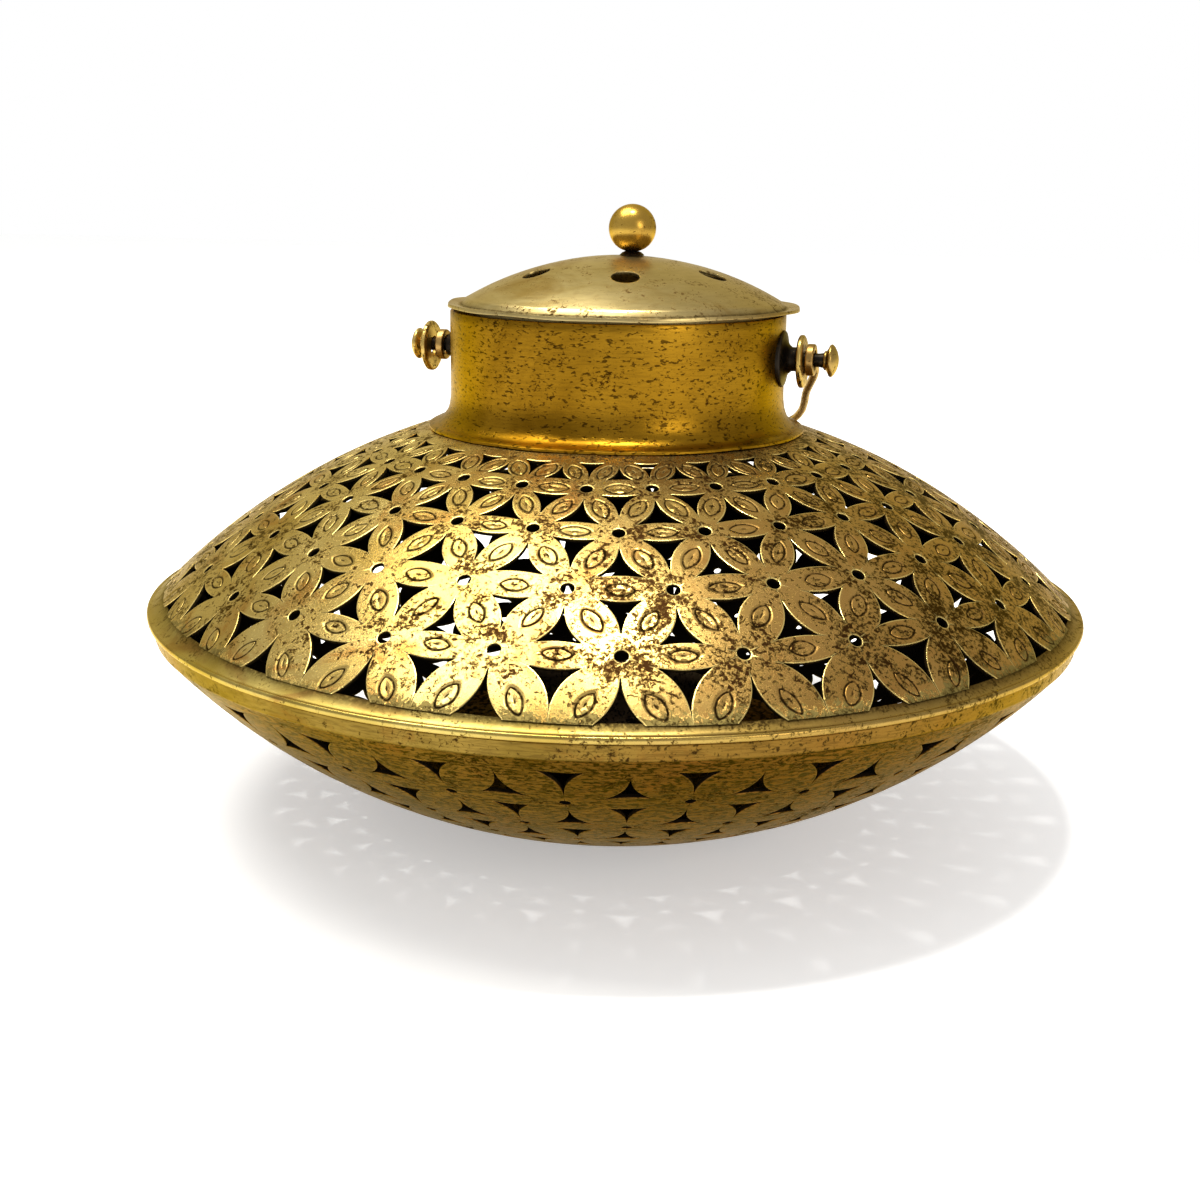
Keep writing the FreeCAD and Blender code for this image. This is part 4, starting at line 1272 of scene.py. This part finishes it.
def make_lights():
    """Three lamps, soft light from all round, and white paper behind everything."""
    right, near, up = view_axes()
    middle = (0, 0, 0.08)
    add_light("overhead", near * 0.13 + up * 1.5, middle, (0.18, 0.15), 15, (1.0, 1.0, 0.98))
    add_light("key_left", up * 1.35 - right * 0.50 - near * 0.12, middle, (0.85, 0.6), 16,
              (1.0, 0.98, 0.93))
    add_light("fill_right", near * 1.2 + right * 0.9 + up * 0.6, middle, (0.5, 0.7), 5,
              (1.0, 0.97, 0.93))
    world = bpy.data.worlds.new("studio")
    world.use_nodes = True
    tree = world.node_tree
    room = tree.nodes["Background"]
    room.inputs["Color"].default_value = (*WHITE, 1)
    room.inputs["Strength"].default_value = 0.65
    paper = tree.nodes.new("ShaderNodeBackground")
    paper.inputs["Color"].default_value = (*WHITE, 1)
    paper.inputs["Strength"].default_value = 1.0
    seen = tree.nodes.new("ShaderNodeLightPath")
    either = tree.nodes.new("ShaderNodeMixShader")
    tree.links.new(seen.outputs["Is Camera Ray"], either.inputs[0])
    tree.links.new(room.outputs[0], either.inputs[1])
    tree.links.new(paper.outputs[0], either.inputs[2])
    tree.links.new(either.outputs[0], tree.nodes["World Output"].inputs[0])
    bpy.context.scene.world = world
    bpy.context.scene.view_settings.view_transform = "Standard"


def make_camera():
    """Looks down a little from the front right, as far away as a hand-held close-up."""
    right, near, up = view_axes()
    back = near * math.cos(VIEW_DROP) + up * math.sin(VIEW_DROP)
    top = up * math.cos(VIEW_DROP) - near * math.sin(VIEW_DROP)
    place = near * VIEW_DISTANCE - right * VIEW_OFFSET + up * VIEW_HEIGHT
    facing = Matrix((right, top, back)).transposed().to_4x4()
    pivot = Matrix.Translation((0, 0, RIDGE_HEIGHT))
    roll = pivot @ Matrix.Rotation(VIEW_ROLL, 4, near) @ pivot.inverted()
    data = bpy.data.cameras.new("camera")
    data.lens = VIEW_LENS
    data.sensor_width = 36.0
    data.clip_start = 0.01
    camera = bpy.data.objects.new("camera", data)
    bpy.context.scene.collection.objects.link(camera)
    camera.matrix_world = roll @ Matrix.Translation(place) @ facing
    bpy.context.scene.camera = camera


# ---------------------------------------------------------------- everything together

def main():
    """All materials, then all pieces, then the stage round them."""
    shoulder = brass("shoulder_brass", (0.60, 0.45, 0.15), (0.42, 0.28, 0.068),
                     (0.028, 0.011, 0.003), (0.36, 0.175, 0.040), 0.66, 0.27, 0.38,
                     marks=True, joint=DOME_EDGE)
    # The bowl's dark colour is partly patina and partly painted shade on its underside, which
    # faces the floor.
    bowl = brass("bowl_brass", (0.23, 0.120, 0.022), (0.115, 0.055, 0.008),
                 (0.014, 0.005, 0.001), (0.19, 0.075, 0.014), 0.20, 0.36, 0.35, grain=0.85,
                 pits=0.95, pit_start=0.50, marks=True, edge_glint=0.3)
    rim = brass("rim_brass", (0.55, 0.43, 0.13), (0.36, 0.255, 0.050),
                (0.060, 0.030, 0.008), (0.28, 0.16, 0.04), 0.40, 0.26, 0.25, marks=True)
    # The plain band's darker colour is partly its duller tone and partly painted shade under the
    # bead.
    band_with_shade = brass("band_brass", (0.25, 0.165, 0.034), (0.15, 0.095, 0.016),
                       (0.030, 0.014, 0.003), (0.16, 0.075, 0.012), 0.45, 0.32, 0.3,
                       grain=0.4, marks=True)
    neck = brass("neck_brass", (0.32, 0.165, 0.010), (0.165, 0.078, 0.003),
                 (0.040, 0.015, 0.002), None, 0.35, 0.30, 0.35, grain=0.2, pits=0.8,
                 pit_start=0.57)
    lid = brass("lid_brass", (0.52, 0.42, 0.19), (0.36, 0.26, 0.085),
                (0.070, 0.036, 0.012), (0.30, 0.19, 0.055), 0.42, 0.30, 0.25, grain=0.15,
                marks=True)
    ball = brass("ball_brass", (0.50, 0.31, 0.055), (0.27, 0.135, 0.015),
                 (0.060, 0.025, 0.005), None, 0.45, 0.27, 0.25)
    # Dark brass for the stud flanges and pins, partly blackening and partly painted shade; also
    # used for the finial stem.
    dark_and_shaded = brass("blackened_brass", (0.030, 0.024, 0.018), (0.015, 0.012, 0.009),
                  (0.060, 0.038, 0.018), None, 0.5, 0.42, 0.3)
    rubbed = brass("rubbed_brass", (0.62, 0.43, 0.12), (0.30, 0.19, 0.050),
                   (0.020, 0.013, 0.006), None, 0.6, 0.30, 0.3)
    rod = brass("rod_brass", (0.44, 0.27, 0.085), (0.24, 0.14, 0.040),
                (0.04, 0.020, 0.007), None, 0.5, 0.34, 0.3)
    cup = brass("cup_brass", (0.12, 0.08, 0.045), (0.05, 0.035, 0.022),
                (0.008, 0.006, 0.005), None, 0.9, 0.5, 0.4)
    make_shoulder(shoulder)
    make_bowl(bowl)
    make_rim(rim, band_with_shade)
    make_floor_disc(bowl)
    make_neck(neck)
    for side, suffix in ((1, "right"), (-1, "left")):
        make_studs(side, suffix, dark_and_shaded, rubbed)
        make_washer(side, suffix, rubbed, 2.0 * side)
    make_bail(rod)
    make_lid(lid)
    make_lid_ring(lid)
    make_finial(ball, dark_and_shaded)
    make_finial_fixings(rubbed)
    make_cup(cup)
    make_floor()
    make_lights()
    make_camera()


main()
